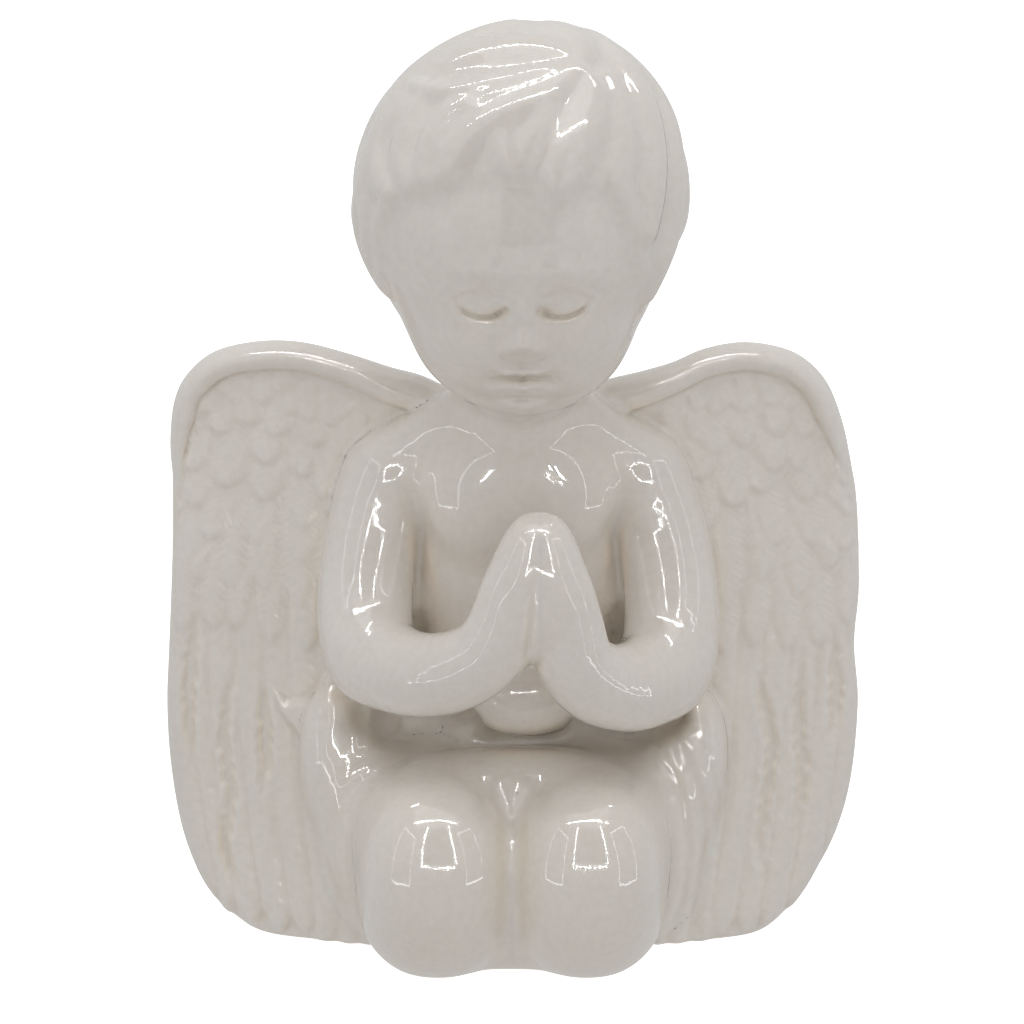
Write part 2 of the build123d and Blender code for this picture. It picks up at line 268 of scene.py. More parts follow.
def hair_maps():
    ax = np.linspace(-HM_T, HM_T, HM_N)
    MX, MZ = np.meshgrid(ax, ax, indexing="ij")
    th = np.sqrt(MX ** 2 + MZ ** 2)
    s = np.sin(th) / np.maximum(th, 1e-6)
    face2 = None
    maps = []
    locks = LOCKS + back_locks()
    fu = np.array(FACE)
    fu /= np.linalg.norm(fu, axis=1)[:, None]
    fx, fz = to_map(fu, -1)
    fpoly = np.stack([fx, fz], 1)
    fpoly = crom(np.vstack([fpoly, fpoly[:1]]), 4)[:-1]
    for sgn in (-1, 1):
        U = np.stack([MX * s, sgn * np.cos(th), MZ * s], -1).reshape(-1, 3)
        P = U * 22.0
        h = np.full(len(P), 0.0)
        for pts, w, a in locks:
            c = crom([np.array(q) / np.linalg.norm(q) * 22.0 for q in pts], 4)
            c = c / np.linalg.norm(c, axis=1)[:, None] * 22.0
            ww = crom([[v] for v in w], 4)[:, 0]
            ctr = c.mean(0)
            rad = np.linalg.norm(c - ctr, axis=1).max() + max(w) + 0.5
            m = np.linalg.norm(P - ctr, axis=1) < rad
            if not m.any():
                continue
            Q = P[m]
            best = np.full(len(Q), -9.0)
            for i in range(len(c) - 1):
                ba = c[i + 1] - c[i]
                q = Q - c[i]
                t = np.clip((q @ ba) / (ba @ ba), 0, 1)
                e = q - t[:, None] * ba
                dd = np.sqrt((e * e).sum(1)) / (ww[i] + (ww[i + 1] - ww[i]) * t)
                best = np.maximum(best, 1 - dd * dd)
            v = a * np.clip(best, 0, 1) ** 0.8
            hh = h[m]
            k = 0.18
            x = np.maximum(k - np.abs(hh - v), 0) / k
            h[m] = np.maximum(hh, v) + x * x * k * 0.25
        # the face and throat carry no hair
        gx, gz = to_map(U, -1)
        sd = poly_sd(fpoly, np.stack([gx, gz], 1)) * 22.0
        sd = np.where(U[:, 1] > 0.35, 6.0, sd)
        nape = np.clip((U[:, 2] + 0.80) / 0.22, 0, 1)
        nape = np.where(U[:, 1] > 0, nape * nape * (3 - 2 * nape), 1.0)
        edge = sstep(sd, -0.5, 1.6)
        side = 0.30 + 0.70 * sstep(U[:, 2], -0.50, 0.10)
        side = np.where(U[:, 1] > 0.3, 1.0, side + (1 - side) * sstep(U[:, 1], 0.0, 0.3))
        base = 0.55 * edge
        h = (base + h * sstep(sd, -1.6, 1.2) * (0.35 + 0.65 * edge)) * nape * side
        maps.append(blur(h.reshape(HM_N, HM_N), 2.2).astype(F32))
    return maps


def head_base(q):
    z = q[:, 2]
    qq = q.copy()
    qq[:, 2] = np.where(z < 3.2, 3.2 + (z - 3.2) * F32(22.0 / 20.3), z)
    d = ell(qq, (-0.05, 1.2, 2.9), (20.15, 21.8, 21.2))
    d = smin(d, ell(q, (3.4, 1.5, 4.6), (16.9, 19.0, 19.4)), 4.0)
    d = smin(d, ell(q, (0.5, -6.5, 0.5), (17.0, 15.5, 14.0)), 4.0)
    j = ell(q, (0.7, -6.8, -9.3), (13.2, 13.0, 12.6))
    j = smin(j, ell(q, (1.0, -11.6, -14.6), (6.4, 5.4, 5.4)), 5.0)
    for s in (-1, 1):
        j = smin(j, ell(q, (0.7 + s * 6.2, -12.2, -9.6), (7.0, 7.0, 7.0)), 4.0)
    return smin(d, j, 5.0)


HM = None


def head(p):
    global HM
    if HM is None:
        HM = hair_maps()
    q = (p - H0) @ HR
    d = head_base(q)
    m = np.abs(d) < 4.0
    if m.any():
        u = q[m] / np.maximum(np.sqrt((q[m] ** 2).sum(1)), 1e-6)[:, None]
        h = np.zeros(len(u), F32)
        # the two maps fade into each other over the ears
        w = sstep(u[:, 1], -0.09, 0.09)
        for sgn, part, G in ((-1, 1 - w, HM[0]), (1, w, HM[1])):
            sel = part > 0
            if sel.any():
                gx, gz = to_map(u[sel], sgn)
                f = (HM_N - 1) / (2 * HM_T)
                h[sel] += part[sel] * samp(G, (gx + HM_T) * f, (gz + HM_T) * f)
        dm = d[m] - h * F32(0.93)
        d[m] = dm
    # face
    f = (p[:, 1] < -9.0) & (p[:, 2] < 101) & (p[:, 2] > 72) & (d < 5) & (np.abs(p[:, 0]) < 16)
    if f.any():
        d[f] = face(p[f], d[f])
    return d


FX = 1.1
BUMPS = [
    # x, z, half widths, height: laid out for both sides of the face's middle
    (4.9, 91.9, 3.2, 1.9, -1.05), (5.3, 95.6, 3.9, 1.5, 0.35), (4.9, 91.5, 2.9, 1.35, 0.80),
    (2.0, 85.4, 1.1, 1.0, 0.75), (7.6, 85.6, 4.4, 3.8, 1.05), (1.45, 82.2, 1.5, 0.75, 0.60),
    (3.7, 81.1, 0.9, 0.9, -0.55), (2.9, 90.4, 1.2, 1.2, -0.70),
]
MIDDLE = [
    (0.1, 86.3, 1.9, 1.7, 1.95), (0.1, 89.8, 1.6, 3.0, 0.85), (0.0, 83.4, 0.7, 0.9, -0.22),
    (0.0, 80.0, 2.0, 0.85, 0.75), (0.0, 78.4, 2.2, 0.7, -0.5), (0.0, 76.7, 2.8, 1.6, 0.55),
]
LINES = [
    ([(-4.0, 81.4), (-2.1, 81.25), (-0.7, 81.35), (0.0, 81.1), (0.7, 81.35), (2.1, 81.25), (4.0, 81.4)], 0.50, -0.60),
    ([(2.3, 90.7), (3.6, 89.9), (5.3, 89.75), (7.0, 90.25), (8.7, 91.35)], 0.50, -0.62),
    ([(-2.3, 90.7), (-3.6, 89.9), (-5.3, 89.75), (-7.0, 90.25), (-8.7, 91.35)], 0.50, -0.62),
    ([(2.6, 92.6), (4.4, 93.3), (6.6, 93.1), (8.6, 92.1)], 0.42, -0.22),
    ([(-2.6, 92.6), (-4.4, 93.3), (-6.6, 93.1), (-8.6, 92.1)], 0.42, -0.22),
]
FACE_MAP = None


def face_map():
    """Relief of the face, seen from the front, on a 0.1 mm grid."""
    xs = np.arange(-16, 16.01, 0.1)
    zs = np.arange(70, 102.01, 0.1)
    X, Z = np.meshgrid(xs, zs, indexing="ij")
    h = np.zeros(X.shape)
    for x, z, a, b, v in BUMPS:
        for sg in (-1, 1):
            h += v * np.exp(-((X - sg * x) / a) ** 2 - ((Z - z) / b) ** 2)
    for x, z, a, b, v in MIDDLE:
        h += v * np.exp(-((X - x) / a) ** 2 - ((Z - z) / b) ** 2)
    for pts, w, v in LINES:
        c = crom(pts, 5)
        best = np.full(X.shape, 1e9)
        for i in range(len(c) - 1):
            ab = c[i + 1] - c[i]
            t = np.clip(((X - c[i][0]) * ab[0] + (Z - c[i][1]) * ab[1]) / (ab @ ab), 0, 1)
            e = (X - c[i][0] - ab[0] * t) ** 2 + (Z - c[i][1] - ab[1] * t) ** 2
            best = np.minimum(best, e)
        ends = np.clip((np.abs(c[:, 0]).max() - np.abs(X)) / 1.2, 0, 1) if v < -0.5 else 1.0
        h += v * np.exp(-best / (w * w)) * ends
    return h.astype(F32)


def face(p, d):
    global FACE_MAP
    if FACE_MAP is None:
        FACE_MAP = face_map()
    h = samp(FACE_MAP, (p[:, 0] - F32(FX) + 16) / F32(0.1), (p[:, 2] - 70) / F32(0.1))
    fade = sstep(16.0 - np.abs(p[:, 0] - FX), 0, 4.0) * sstep(-p[:, 1], 8.5, 12.5)
    return d - h * fade.astype(F32)


# ------------------------------------------------------------------ torso
def torso(p):
    # ribs: a flat-fronted barrel that narrows to the waist
    d = seg(p, (5.7, 4.8, 65.0), (4.6, 6.2, 42.0), 9.2, 8.4)
    d = smin(d, seg(p, (-4.3, 4.8, 65.0), (-3.6, 6.2, 42.0), 9.2, 8.4), 6.0)
    d = smin(d, ell(p, (0.6, 9.6, 12.6), (18.0, 13.0, 14.0)), 7.0)
    d = smin(d, ell(p, (0.6, 8.4, 34.0), (11.4, 8.8, 14.0)), 6.0)
    # neck
    d = smin(d, seg(p, (0.8, 3.4, 68.0), (0.9, -1.6, 81.0), 8.6, 8.4), 4.0)
    for s in (-1, 1):
        # slope of the shoulders, shoulder blades, buttocks resting on the heels
        d = smin(d, seg(p, (0.6 + s * 5.5, 3.2, 71.6), (0.4 + s * 16.5, 3.8, 65.2), 5.4, 5.9), 4.0)
        d = smin(d, ell(p, (0.6 + s * 5.0, -2.2, 62.0), (6.0, 3.0, 5.6)), 4.5)
        d = smin(d, ell(p, (0.6 + s * 6.6, 12.6, 60.0), (4.4, 3.0, 7.0), rotm(0, s * 14, 0)), 3.0)
        d = smin(d, ell(p, (s * 6.6, 13.0, 15.5), (8.4, 8.2, 9.4)), 2.0)
    # belly over the lap, with the fold and dimple across it
    d = smin(d, ell(p, (1.6, -0.6, 36.6), (9.6, 7.6, 6.6)), 2.6)
    d = smax(d, -tube(p, [(-3.2, -7.6, 36.6), (-0.8, -8.5, 35.7), (1.8, -8.7, 35.5), (4.4, -8.3, 35.9), (6.4, -7.2, 36.8)], [0.1, 0.20, 0.25, 0.20, 0.1]), 1.0)
    d = smin(d, ell(p, (0.4, -4.6, 24.9), (8.6, 6.2, 3.9)), 1.6)
    # spine
    d = smax(d, -tube(p, [(0.6, 15.4, 70.0), (0.6, 16.0, 56.0), (0.6, 16.2, 40.0), (0.3, 19.6, 27.0), (0.0, 23.0, 17.0), (0, 22.5, 7.0)], [0.8, 1.1, 1.3, 1.0, 0.8, 0.8]), 2.6)
    return d


# ------------------------------------------------------------------- arms
RIGHT_ARM = [
    (-17.2, 4.2, 63.4, 6.3), (-19.1, 3.0, 56.0, 6.1), (-20.0, 0.2, 48.4, 6.2),
    (-19.0, -4.6, 42.6, 6.1), (-14.4, -10.2, 41.0, 5.6), (-8.8, -14.8, 42.0, 5.2),
    (-3.8, -17.6, 45.0, 4.8), (-1.4, -18.5, 49.0, 4.5), (-0.1, -18.7, 53.8, 4.1),
    (1.3, -18.5, 57.8, 3.5), (2.2, -18.2, 60.2, 2.7),
]
LEFT_ARM = [
    (17.8, 4.2, 63.0, 6.3), (20.3, 3.0, 55.6, 6.0), (21.3, 0.0, 46.8, 6.2),
    (20.3, -4.8, 40.8, 6.2), (16.2, -10.4, 39.2, 5.8), (11.4, -14.8, 40.6, 5.3),
    (8.0, -17.6, 44.2, 4.9), (7.1, -18.5, 48.6, 4.5), (6.1, -18.7, 53.6, 4.1),
    (4.9, -18.5, 57.8, 3.5), (4.2, -18.2, 60.2, 2.7),
]
ARM_CURVES = None


def arm(p, side):
    global ARM_CURVES
    if ARM_CURVES is None:
        ARM_CURVES = [crom(RIGHT_ARM, 4), crom(LEFT_ARM, 4)]
    c = ARM_CURVES[0 if side < 0 else 1]
    d = tube(p, c[:, :3], c[:, 3], 0.6)
    if side < 0:
        # crook of the elbow and the wrist
        d = smin(d, ell(p, (-17.8, -4.2, 40.2), (5.4, 5.4, 4.2)), 3.0)
    else:
        d = smin(d, ell(p, (19.0, -4.2, 38.2), (5.4, 5.4, 4.2)), 3.0)
    # the back of the hand, flat against the other palm
    x = 1.3 if side < 0 else 5.3
    d = smin(d, ell(p, (x, -17.4, 53.0), (3.2, 5.0, 9.6), rotm(4, 5 if side < 0 else -4, 0)), 1.6)
    return d


# ------------------------------------------------------------------- legs
def leg(p, s):
    cx = -10.3 if s < 0 else 9.9
    q = (p - A(cx, -11.4, 14.2)) / A(10.3, 13.2, 13.4)
    q = np.abs(q)
    # a slightly squared ellipsoid for the bent knee
    n = F32(2.25)
    k0 = (np.maximum(q, 1e-6) ** n).sum(1) ** (1 / n)
    d = (k0 - 1) * F32(11.2)
    d = smin(d, ell(p, (cx * 0.95, -9.8, 8.4), (10.4, 10.8, 8.6)), 3.0)
    d = smin(d, seg(p, (cx, -6.0, 16.4), (s * 13.4, 7.0, 16.6), 11.2, 11.4), 3.0)
    d = smin(d, seg(p, (cx * 0.9, -9.0, 4.0), (0, -8.8, 3.9), 4.3, 4.0), 4.0)
    # hip and haunch beside the knee, with soft folds down it
    h = ell(p, (s * 22.6, 1.6, 22.5), (6.2, 5.6, 13.6), rotm(0, s * 10, 0))
    h = smin(h, ell(p, (s * 16.6, 3.0, 9.0), (9.0, 9.0, 10.5)), 5.0)
    r = np.sqrt(((p[:, 0] - s * 10.0) / 12.0) ** 2 + ((p[:, 2] - 13.0) / 18.0) ** 2)
    on = sstep(r, 1.0, 1.12) * (1 - sstep(r, 1.5, 1.75)) * sstep(-p[:, 1], -6.0, -1.0)
    amp = 0.10 if s > 0 else 0.04
    h = h - (amp * on * np.cos((r - 1.05) * 2 * math.pi / (0.20 if s > 0 else 0.27))).astype(F32)
    d = smin(d, h, 4.5)
    # the sole of the foot, turned up behind
    d = smin(d, seg(p, (s * 13.4, 10.0, 7.8), (s * 10.4, 19.6, 5.8), 6.2, 4.6), 2.2)
    for i in range(5):
        d = smin(d, ell(p, (s * (7.4 + 2.0 * i), 21.9 - 0.26 * i * i, 3.6 + 0.25 * i), (1.25, 1.9, 1.9)), 0.7)
    return d


# ------------------------------------------------------------------ wings
WL = [(0, 66.0), (-6, 73.5), (-11.3, 76.9), (-16.5, 78.4), (-22.2, 80.1), (-28.5, 81.4), (-34.6, 81.3), (-40.8, 79.7), (-44.7, 76.5), (-46.6, 72.7), (-47.2, 67.1), (-46.9, 61.5), (-47.1, 50.4), (-47.6, 39.5), (-48.0, 31.2), (-47.6, 23.1), (-46.3, 15.0), (-44.4, 9.5), (-41.4, 4.8), (-37.0, 1.2), (-31.0, -1.5), (-20.0, -3.0), (0, -3.0)]
WR = [(0, 66.0), (6, 73.5), (11.5, 76.4), (17.0, 77.8), (21.5, 79.0), (26.0, 80.7), (31.5, 81.3), (37.0, 80.2), (40.5, 78.2), (43.2, 75.0), (45.2, 69.9), (46.4, 64.5), (47.3, 58.7), (47.7, 47.6), (47.1, 39.5), (47.7, 31.2), (46.7, 20.5), (44.1, 12.4), (39.8, 5.4), (35.5, 1.2), (30.0, -1.5), (20.0, -3.0), (0, -3.0)]
WH = 0.15                                     # cell of the wing maps, mm
WA = np.arange(0, 52.01, WH)
WZ = np.arange(-3, 85.01, WH)
MA, MZ_ = np.meshgrid(WA, WZ, indexing="ij")
RIDGE = [(46.3, 67.0), (45.3, 71.2), (43.6, 74.6), (41.0, 76.8), (37.0, 78.1), (32.5, 78.0), (28.0, 76.8), (23.5, 74.9), (19.0, 72.6), (14.5, 69.8), (9.0, 66.0)]


BARBS = None


def feather(H, a0, z0, ang, L, w, h0, h1, bend=0.0, barb=0.0, lam=0.9, serr=0.0, tip=0.45, shaft=0.0, dome=0.75):
    """Lay one feather, root (a0, z0), pointing down and outward by ang degrees."""
    dx, dz = math.sin(math.radians(ang)), -math.cos(math.radians(ang))
    R = L + w
    i0, i1 = np.searchsorted(WA, [a0 - R, a0 + R])
    j0, j1 = np.searchsorted(WZ, [z0 - R, z0 + R])
    if i1 <= i0 or j1 <= j0:
        return
    a = MA[i0:i1, j0:j1] - a0
    z = MZ_[i0:i1, j0:j1] - z0
    s = (a * dx + z * dz) / L
    t = (a * -dz + z * dx) - bend * np.clip(s, 0, 1.2) ** 2
    f = np.clip((s - (1 - tip)) / tip, 0, 1)
    wp = w / 2 * np.sqrt(np.clip(1 - f * f, 0, 1)) * (0.8 + 0.2 * np.clip(s / 0.4, 0, 1))
    if serr > 0:
        ph = s * L / 2.1 + (t > 0) * 0.4
        wp = wp * (1 - serr * (ph - np.floor(ph)) * np.clip(s * 4, 0, 1))
    m = (s > -0.02) & (s < 1) & (np.abs(t) < wp)
    r = np.clip(np.abs(t) / np.maximum(wp, 1e-3), 0, 1)
    v = (h0 + (h1 - h0) * s) * (1 - dome + dome * np.sqrt(np.clip(1 - r ** 2.4, 0, 1)))
    if shaft > 0:
        v = v + shaft * np.exp(-(t / 0.42) ** 2) * np.clip(1.15 - s, 0, 1)
    if barb > 0:
        bb = barb * np.sin(2 * math.pi * (s * L - 0.85 * np.abs(t)) / lam + 1.5 * np.sin(s * 5 + a0)) * np.clip(r * 1.8, 0, 1) * np.clip(4 * (1 - s), 0, 1)
    else:
        bb = 0.0
    BARBS[i0:i1, j0:j1] = np.where(m, bb, BARBS[i0:i1, j0:j1])
    H[i0:i1, j0:j1] = np.where(m, v, H[i0:i1, j0:j1])


CHANNELS = (
    ([(38.6, 36.5), (39.8, 28.0), (38.9, 19.7), (39.7, 12.5), (37.4, 5.8)], [(34.4, 35.0), (34.0, 27.0), (34.4, 20.0)], [(43.6, 44.0), (44.6, 34.0), (44.4, 24.0)]),
    ([(33.2, 36.5), (35.4, 27.6), (34.6, 19.7), (33.8, 12.5), (34.9, 8.3)], [(39.8, 39.5), (39.1, 31.0), (39.7, 22.5), (38.7, 13.6)], [(44.0, 42.0), (44.4, 33.0), (43.6, 26.0)]),
)


def channel(H, pts, rng):
    """A deep line between two primaries, its edges toothed by the barbs."""
    c = crom(pts, 6)
    seg_l = np.r_[0, np.cumsum(np.linalg.norm(np.diff(c, axis=0), axis=1))]
    best = np.full(H.shape, 1e9)
    sl = np.zeros(H.shape)
    sd = np.zeros(H.shape)
    i0, i1 = np.searchsorted(WA, [c[:, 0].min() - 4, c[:, 0].max() + 4])
    j0, j1 = np.searchsorted(WZ, [c[:, 1].min() - 4, c[:, 1].max() + 4])
    X, Z = MA[i0:i1, j0:j1], MZ_[i0:i1, j0:j1]
    b, s_, g = best[i0:i1, j0:j1], sl[i0:i1, j0:j1], sd[i0:i1, j0:j1]
    for i in range(len(c) - 1):
        ab = c[i + 1] - c[i]
        t = np.clip(((X - c[i][0]) * ab[0] + (Z - c[i][1]) * ab[1]) / (ab @ ab), 0, 1)
        ex, ez = X - c[i][0] - ab[0] * t, Z - c[i][1] - ab[1] * t
        e = ex * ex + ez * ez
        m = e < b
        b[m] = e[m]
        s_[m] = (seg_l[i] + t * (seg_l[i + 1] - seg_l[i]))[m]
        g[m] = (ab[0] * ez - ab[1] * ex)[m]
    r = np.sqrt(b)
    per = 2.9
    ph = s_ / per + 0.25 * np.sin(s_ * 0.9 + rng.uniform(0, 6)) + (g > 0) * 0.45
    saw = ph - np.floor(ph)
    ends = np.sin(math.pi * np.clip(s_ / seg_l[-1], 0.02, 0.98)) ** 0.5
    w = (0.30 + 0.85 * saw) * ends
    cut = 1.15 * (1 - sstep(r, 0.55 * w, w + 0.35)) * ends
    rim = 0.22 * np.exp(-((r - w - 0.7) / 0.4) ** 2) * ends
    H[i0:i1, j0:j1] += rim - cut


def wing_front(side):
    global BARBS
    BARBS = np.zeros(MA.shape)
    rng = np.random.RandomState(11 if side < 0 else 23)
    H = np.full(MA.shape, 0.25)
    R = crom(RIDGE, 8)
    seglen = np.r_[0, np.cumsum(np.linalg.norm(np.diff(R, axis=0), axis=1))]

    def on_ridge(u):
        x = np.interp(u * seglen[-1], seglen, R[:, 0])
        z = np.interp(u * seglen[-1], seglen, R[:, 1])
        return x, z

    # smooth folds beside the leg
    for a0, w, h, z0 in ((19.5, 3.2, 0.7, 46), (22.8, 3.2, 0.8, 47), (26.0, 3.4, 0.75, 48), (16.2, 3.0, 0.5, 44)):
        feather(H, a0 + 0.5, z0, 1.0, z0 + 1, w, 0.3, h, bend=-1.6, tip=0.1, dome=0.8)
    # primaries, outermost last
    prim = [(29.0, 46, 4.6, 0.9), (32.4, 45, 4.4, 1.15), (36.2, 46, 4.4, 1.3), (40.2, 47, 4.3, 1.35), (44.2, 50, 4.2, 1.25), (47.4, 54, 3.6, 1.05)]
    for k, (a0, z0, w, h) in enumerate(prim):
        L = z0 - (3.5 + 0.6 * rng.rand()) + (4 - k) * 0.2
        feather(H, a0, z0, 0.6 + rng.uniform(-0.8, 0.8), L + 1.6, w, 0.6, 1.5 * h * rng.uniform(0.75, 1.0), bend=-3.6 - 0.45 * k, barb=0.02, lam=1.7, serr=0.10, tip=0.10, shaft=0.0, dome=0.88)
    # secondaries
    for row, (z0, L, w, n, a_in, a_out) in enumerate(((57.0, 17.0, 4.6, 7, 20.0, 47.4), (62.0, 13.5, 4.8, 7, 18.5, 46.6))):
        for k in range(n):
            a0 = a_in + (a_out - a_in) * (k + 0.5 * (row % 2)) / (n - 0.5)
            j = rng.uniform(-1, 1, 4)
            feather(H, a0 + 0.4 * j[0], z0 + 1.4 * j[1] + 0.10 * (a0 - 30), 3 + 0.22 * (a0 - 34) + 2 * j[2], L * (1 + 0.12 * j[3]), w, 0.45, 1.25, bend=-0.5,
                    barb=0.085, lam=1.05, serr=0.16, tip=0.34, shaft=0.14, dome=0.7)
    # coverts in rows that follow the rolled edge, lowest row first
    for off, L, w, h in ((15.6, 8.4, 5.0, 1.2), (11.4, 7.0, 4.8, 1.2), (7.6, 6.0, 4.6, 1.15), (4.4, 4.8, 4.2, 1.05), (1.8, 3.8, 3.6, 0.95), (-0.2, 2.8, 3.0, 0.85)):
        n = int(round(seglen[-1] * 0.86 / (w * 0.93)))
        ph = rng.rand()
        for k in range(n + 1):
            u = 0.02 + 0.86 * (k + 0.5 * ph) / n
            x, z = on_ridge(min(u, 0.98))
            ang = 34 * (1 - u) ** 1.6 - 10 * u
            j = rng.uniform(-1, 1, 4)
            dx, dz = math.sin(math.radians(ang * 0.55)), -math.cos(math.radians(ang * 0.55))
            feather(H, x + dx * off + 0.7 * j[0] - off * 0.14 * (1 - u), z + dz * off + 0.7 * j[1], ang + 13 * j[2], L * (1 + 0.22 * j[3]), w * (1 + 0.14 * j[1]), 0.30, h * (1 + 0.18 * j[2]), tip=0.55,
                    barb=0.03 if off < 4 else 0.06, lam=0.95, serr=0.05, dome=0.62)
    for pts in CHANNELS[0 if side < 0 else 1]:
        channel(H, pts, rng)
    H = blur(H, 2.3) + 1.25 * blur(BARBS, 1.2)
    # the smooth hip beside the leg covers the feathers' lower inner part
    if side < 0:
        P = [(33.4, 35.6), (32.4, 31.6), (29.1, 28.0), (26.2, 22.5), (23.6, 17.0), (21.2, 9.0), (18.8, -3.0), (0, -3.0), (0, 44.0), (23.0, 42.0), (26.0, 37.0), (28.0, 34.2), (30.9, 33.4)]
    else:
        P = [(23.0, 38.0), (24.4, 33.0), (24.0, 28.0), (23.0, 19.0), (21.0, 10.0), (19.0, -3.0), (0, -3.0), (0, 38.0)]
    sd = poly_sd(P, np.stack([MA.ravel(), MZ_.ravel()], 1)).reshape(MA.shape)
    lift = 1.7 if side < 0 else 0.9
    hip = lift * sstep(-sd, -0.7, 1.1) + 0.10 * np.clip(-sd, 0, 8)
    w = sstep(-sd, -0.5, 0.9)
    H = H * (1 - w) + np.maximum(hip, 0) * w
    # the rolled leading edge
    Q = np.stack([MA.ravel(), MZ_.ravel()], 1)
    o = poly_sd(np.abs(crom(WL if side < 0 else WR, 5)), Q).reshape(MA.shape)
    u = np.clip((MZ_ - 62.0) / 9.0, 0, 1)
    half = (0.75 + 1.05 * u) * (1 + 0.35 * np.clip((24 - MA) / 12, 0, 1))
    e = -o
    prof = np.sqrt(np.clip(1 - ((e - half) / half) ** 2, 0, 1))
    ridge = (prof * (0.9 + 1.0 * u)) * sstep(MZ_, 58.0, 66.0)
    ridge = blur(ridge, 1.2)
    k = 0.35
    x = np.maximum(k - np.abs(H - ridge), 0) / k
    H = np.maximum(H, ridge) + x * x * k * 0.25
    return H.astype(F32)


def wing_back(side):
    global BARBS
    BARBS = np.zeros(MA.shape)
    rng = np.random.RandomState(31 if side < 0 else 47)
    H = np.full(MA.shape, 0.2)
    for k, a0 in enumerate(np.linspace(18, 46, 8)):
        feather(H, a0, 44 + 0.14 * a0, 1.0, 40 + 0.1 * a0, 4.4, 0.35, 0.95, bend=-2.2, barb=0.05, lam=1.2, serr=0.12, tip=0.13, shaft=0.1, dome=0.8)
    for row, (z0, L, n) in enumerate(((56, 16, 7), (64, 13, 7), (70, 10, 6), (75, 7.5, 5))):
        for k in range(n):
            a0 = 14 + 33 * (k + 0.5 * (row % 2)) / (n - 0.4)
            j = rng.uniform(-1, 1, 3)
            feather(H, a0, z0 + 0.8 * j[0] + 0.06 * (a0 - 30), 2 + 0.2 * (a0 - 30) + 2 * j[1], L, 5.2, 0.35, 1.0, barb=0.05, lam=1.1, serr=0.08, tip=0.45, shaft=0.1, dome=0.7)
    H = blur(H, 2.4) + 1.4 * blur(BARBS, 1.2)
    return (H * sstep(MA, 10.0, 16.0)).astype(F32)


WMAPS = None


def wing_maps():
    maps = []
    Q = np.stack([MA.ravel(), MZ_.ravel()], 1)
    for side, P in ((-1, WL), (1, WR)):
        S = np.abs(crom(P, 6))
        S[:, 1] = crom(P, 6)[:, 1]
        o = poly_sd(S, Q).reshape(MA.shape).astype(F32)
        maps.append((o, wing_front(side), wing_back(side)))
    return maps


def wing_y(a, z):
    a = 19.0 + np.logaddexp(0.0, (a - 19.0) / 2.5) * 2.5
    return -1.0 + 0.33 * (a - 26.0) - 0.0035 * (a - 26.0) ** 2 + 0.135 * z - 0.0002 * z * z


def wing(p, s):
    global WMAPS
    if WMAPS is None:
        WMAPS = wing_maps()
    O, HF, HB = WMAPS[0 if s < 0 else 1]
    a = p[:, 0] * s
    y = p[:, 1]
    z = p[:, 2]
    fa = np.maximum(a, 0) / WH
    fz = (z + 3.0) / WH
    o = samp(O, fa, fz)
    # beyond the map, grow the distance so that it stays a distance
    over = np.maximum(z - WZ[-1], 0) + np.maximum(a - WA[-1], 0)
    o = o + over
    o = np.maximum(o, 7.0 - a)
    yf = wing_y(np.clip(a, 0, 60), z) + 6.5 * (1 - sstep(a, 15.0, 20.0)) * (1 - sstep(z, 38.0, 48.0))
    t = 4.7 + 1.6 * np.clip((24 - z) / 24, 0, 1) + 0.9 * np.clip((26 - a) / 12, 0, 1)
    f = yf - samp(HF, fa, fz) + 0.45
    b = yf + t + samp(HB, fa, fz)
    w1 = np.maximum(f - y, y - b) * F32(0.93)
    r = 2.2
    u0 = o + r
    u1 = w1 + r
    d = np.sqrt(np.maximum(u0, 0) ** 2 + np.maximum(u1, 0) ** 2) + np.minimum(np.maximum(u0, u1), 0) - r
    return (d * F32(0.93)).astype(F32)


# ------------------------------------------------------------ the assembly
BOXES = {
    "head": ((-24, -26, 71), (25, 24, 127)),
    "torso": ((-20, -13, -4), (20, 24, 84)),
    "right_arm": ((-28, -25, 32), (6, 13, 71)),
    "left_arm": ((0, -25, 28), (29, 13, 71)),
    "right_wing": ((-50, -14, -3), (0, 26, 84)),
    "left_wing": ((0, -14, -3), (50, 26, 84)),
    "right_leg": ((-29, -27, -4), (2, 26, 34)),
    "left_leg": ((-2, -27, -4), (29, 26, 34)),
}
PAD = 5.0


def part_fields(p):
    p = np.ascontiguousarray(p, F32)
    out = np.empty((8, len(p)), F32)
    fns = (head, torso, lambda q: arm(q, -1), lambda q: arm(q, 1), lambda q: wing(q, -1), lambda q: wing(q, 1), lambda q: leg(q, -1), lambda q: leg(q, 1))
    for i, n in enumerate(NAMES):
        lo, hi = BOXES[n]
        e = np.maximum(np.maximum(A(*lo) - p, p - A(*hi)), 0)
        bd = np.sqrt((e * e).sum(1))
        m = bd < PAD
        out[i] = bd
        if m.any():
            out[i, m] = fns[i](p[m])
    return out


PLATE = (15.2, 12.2, 4.5)      # half sizes of the foot plate's recess and its centre y


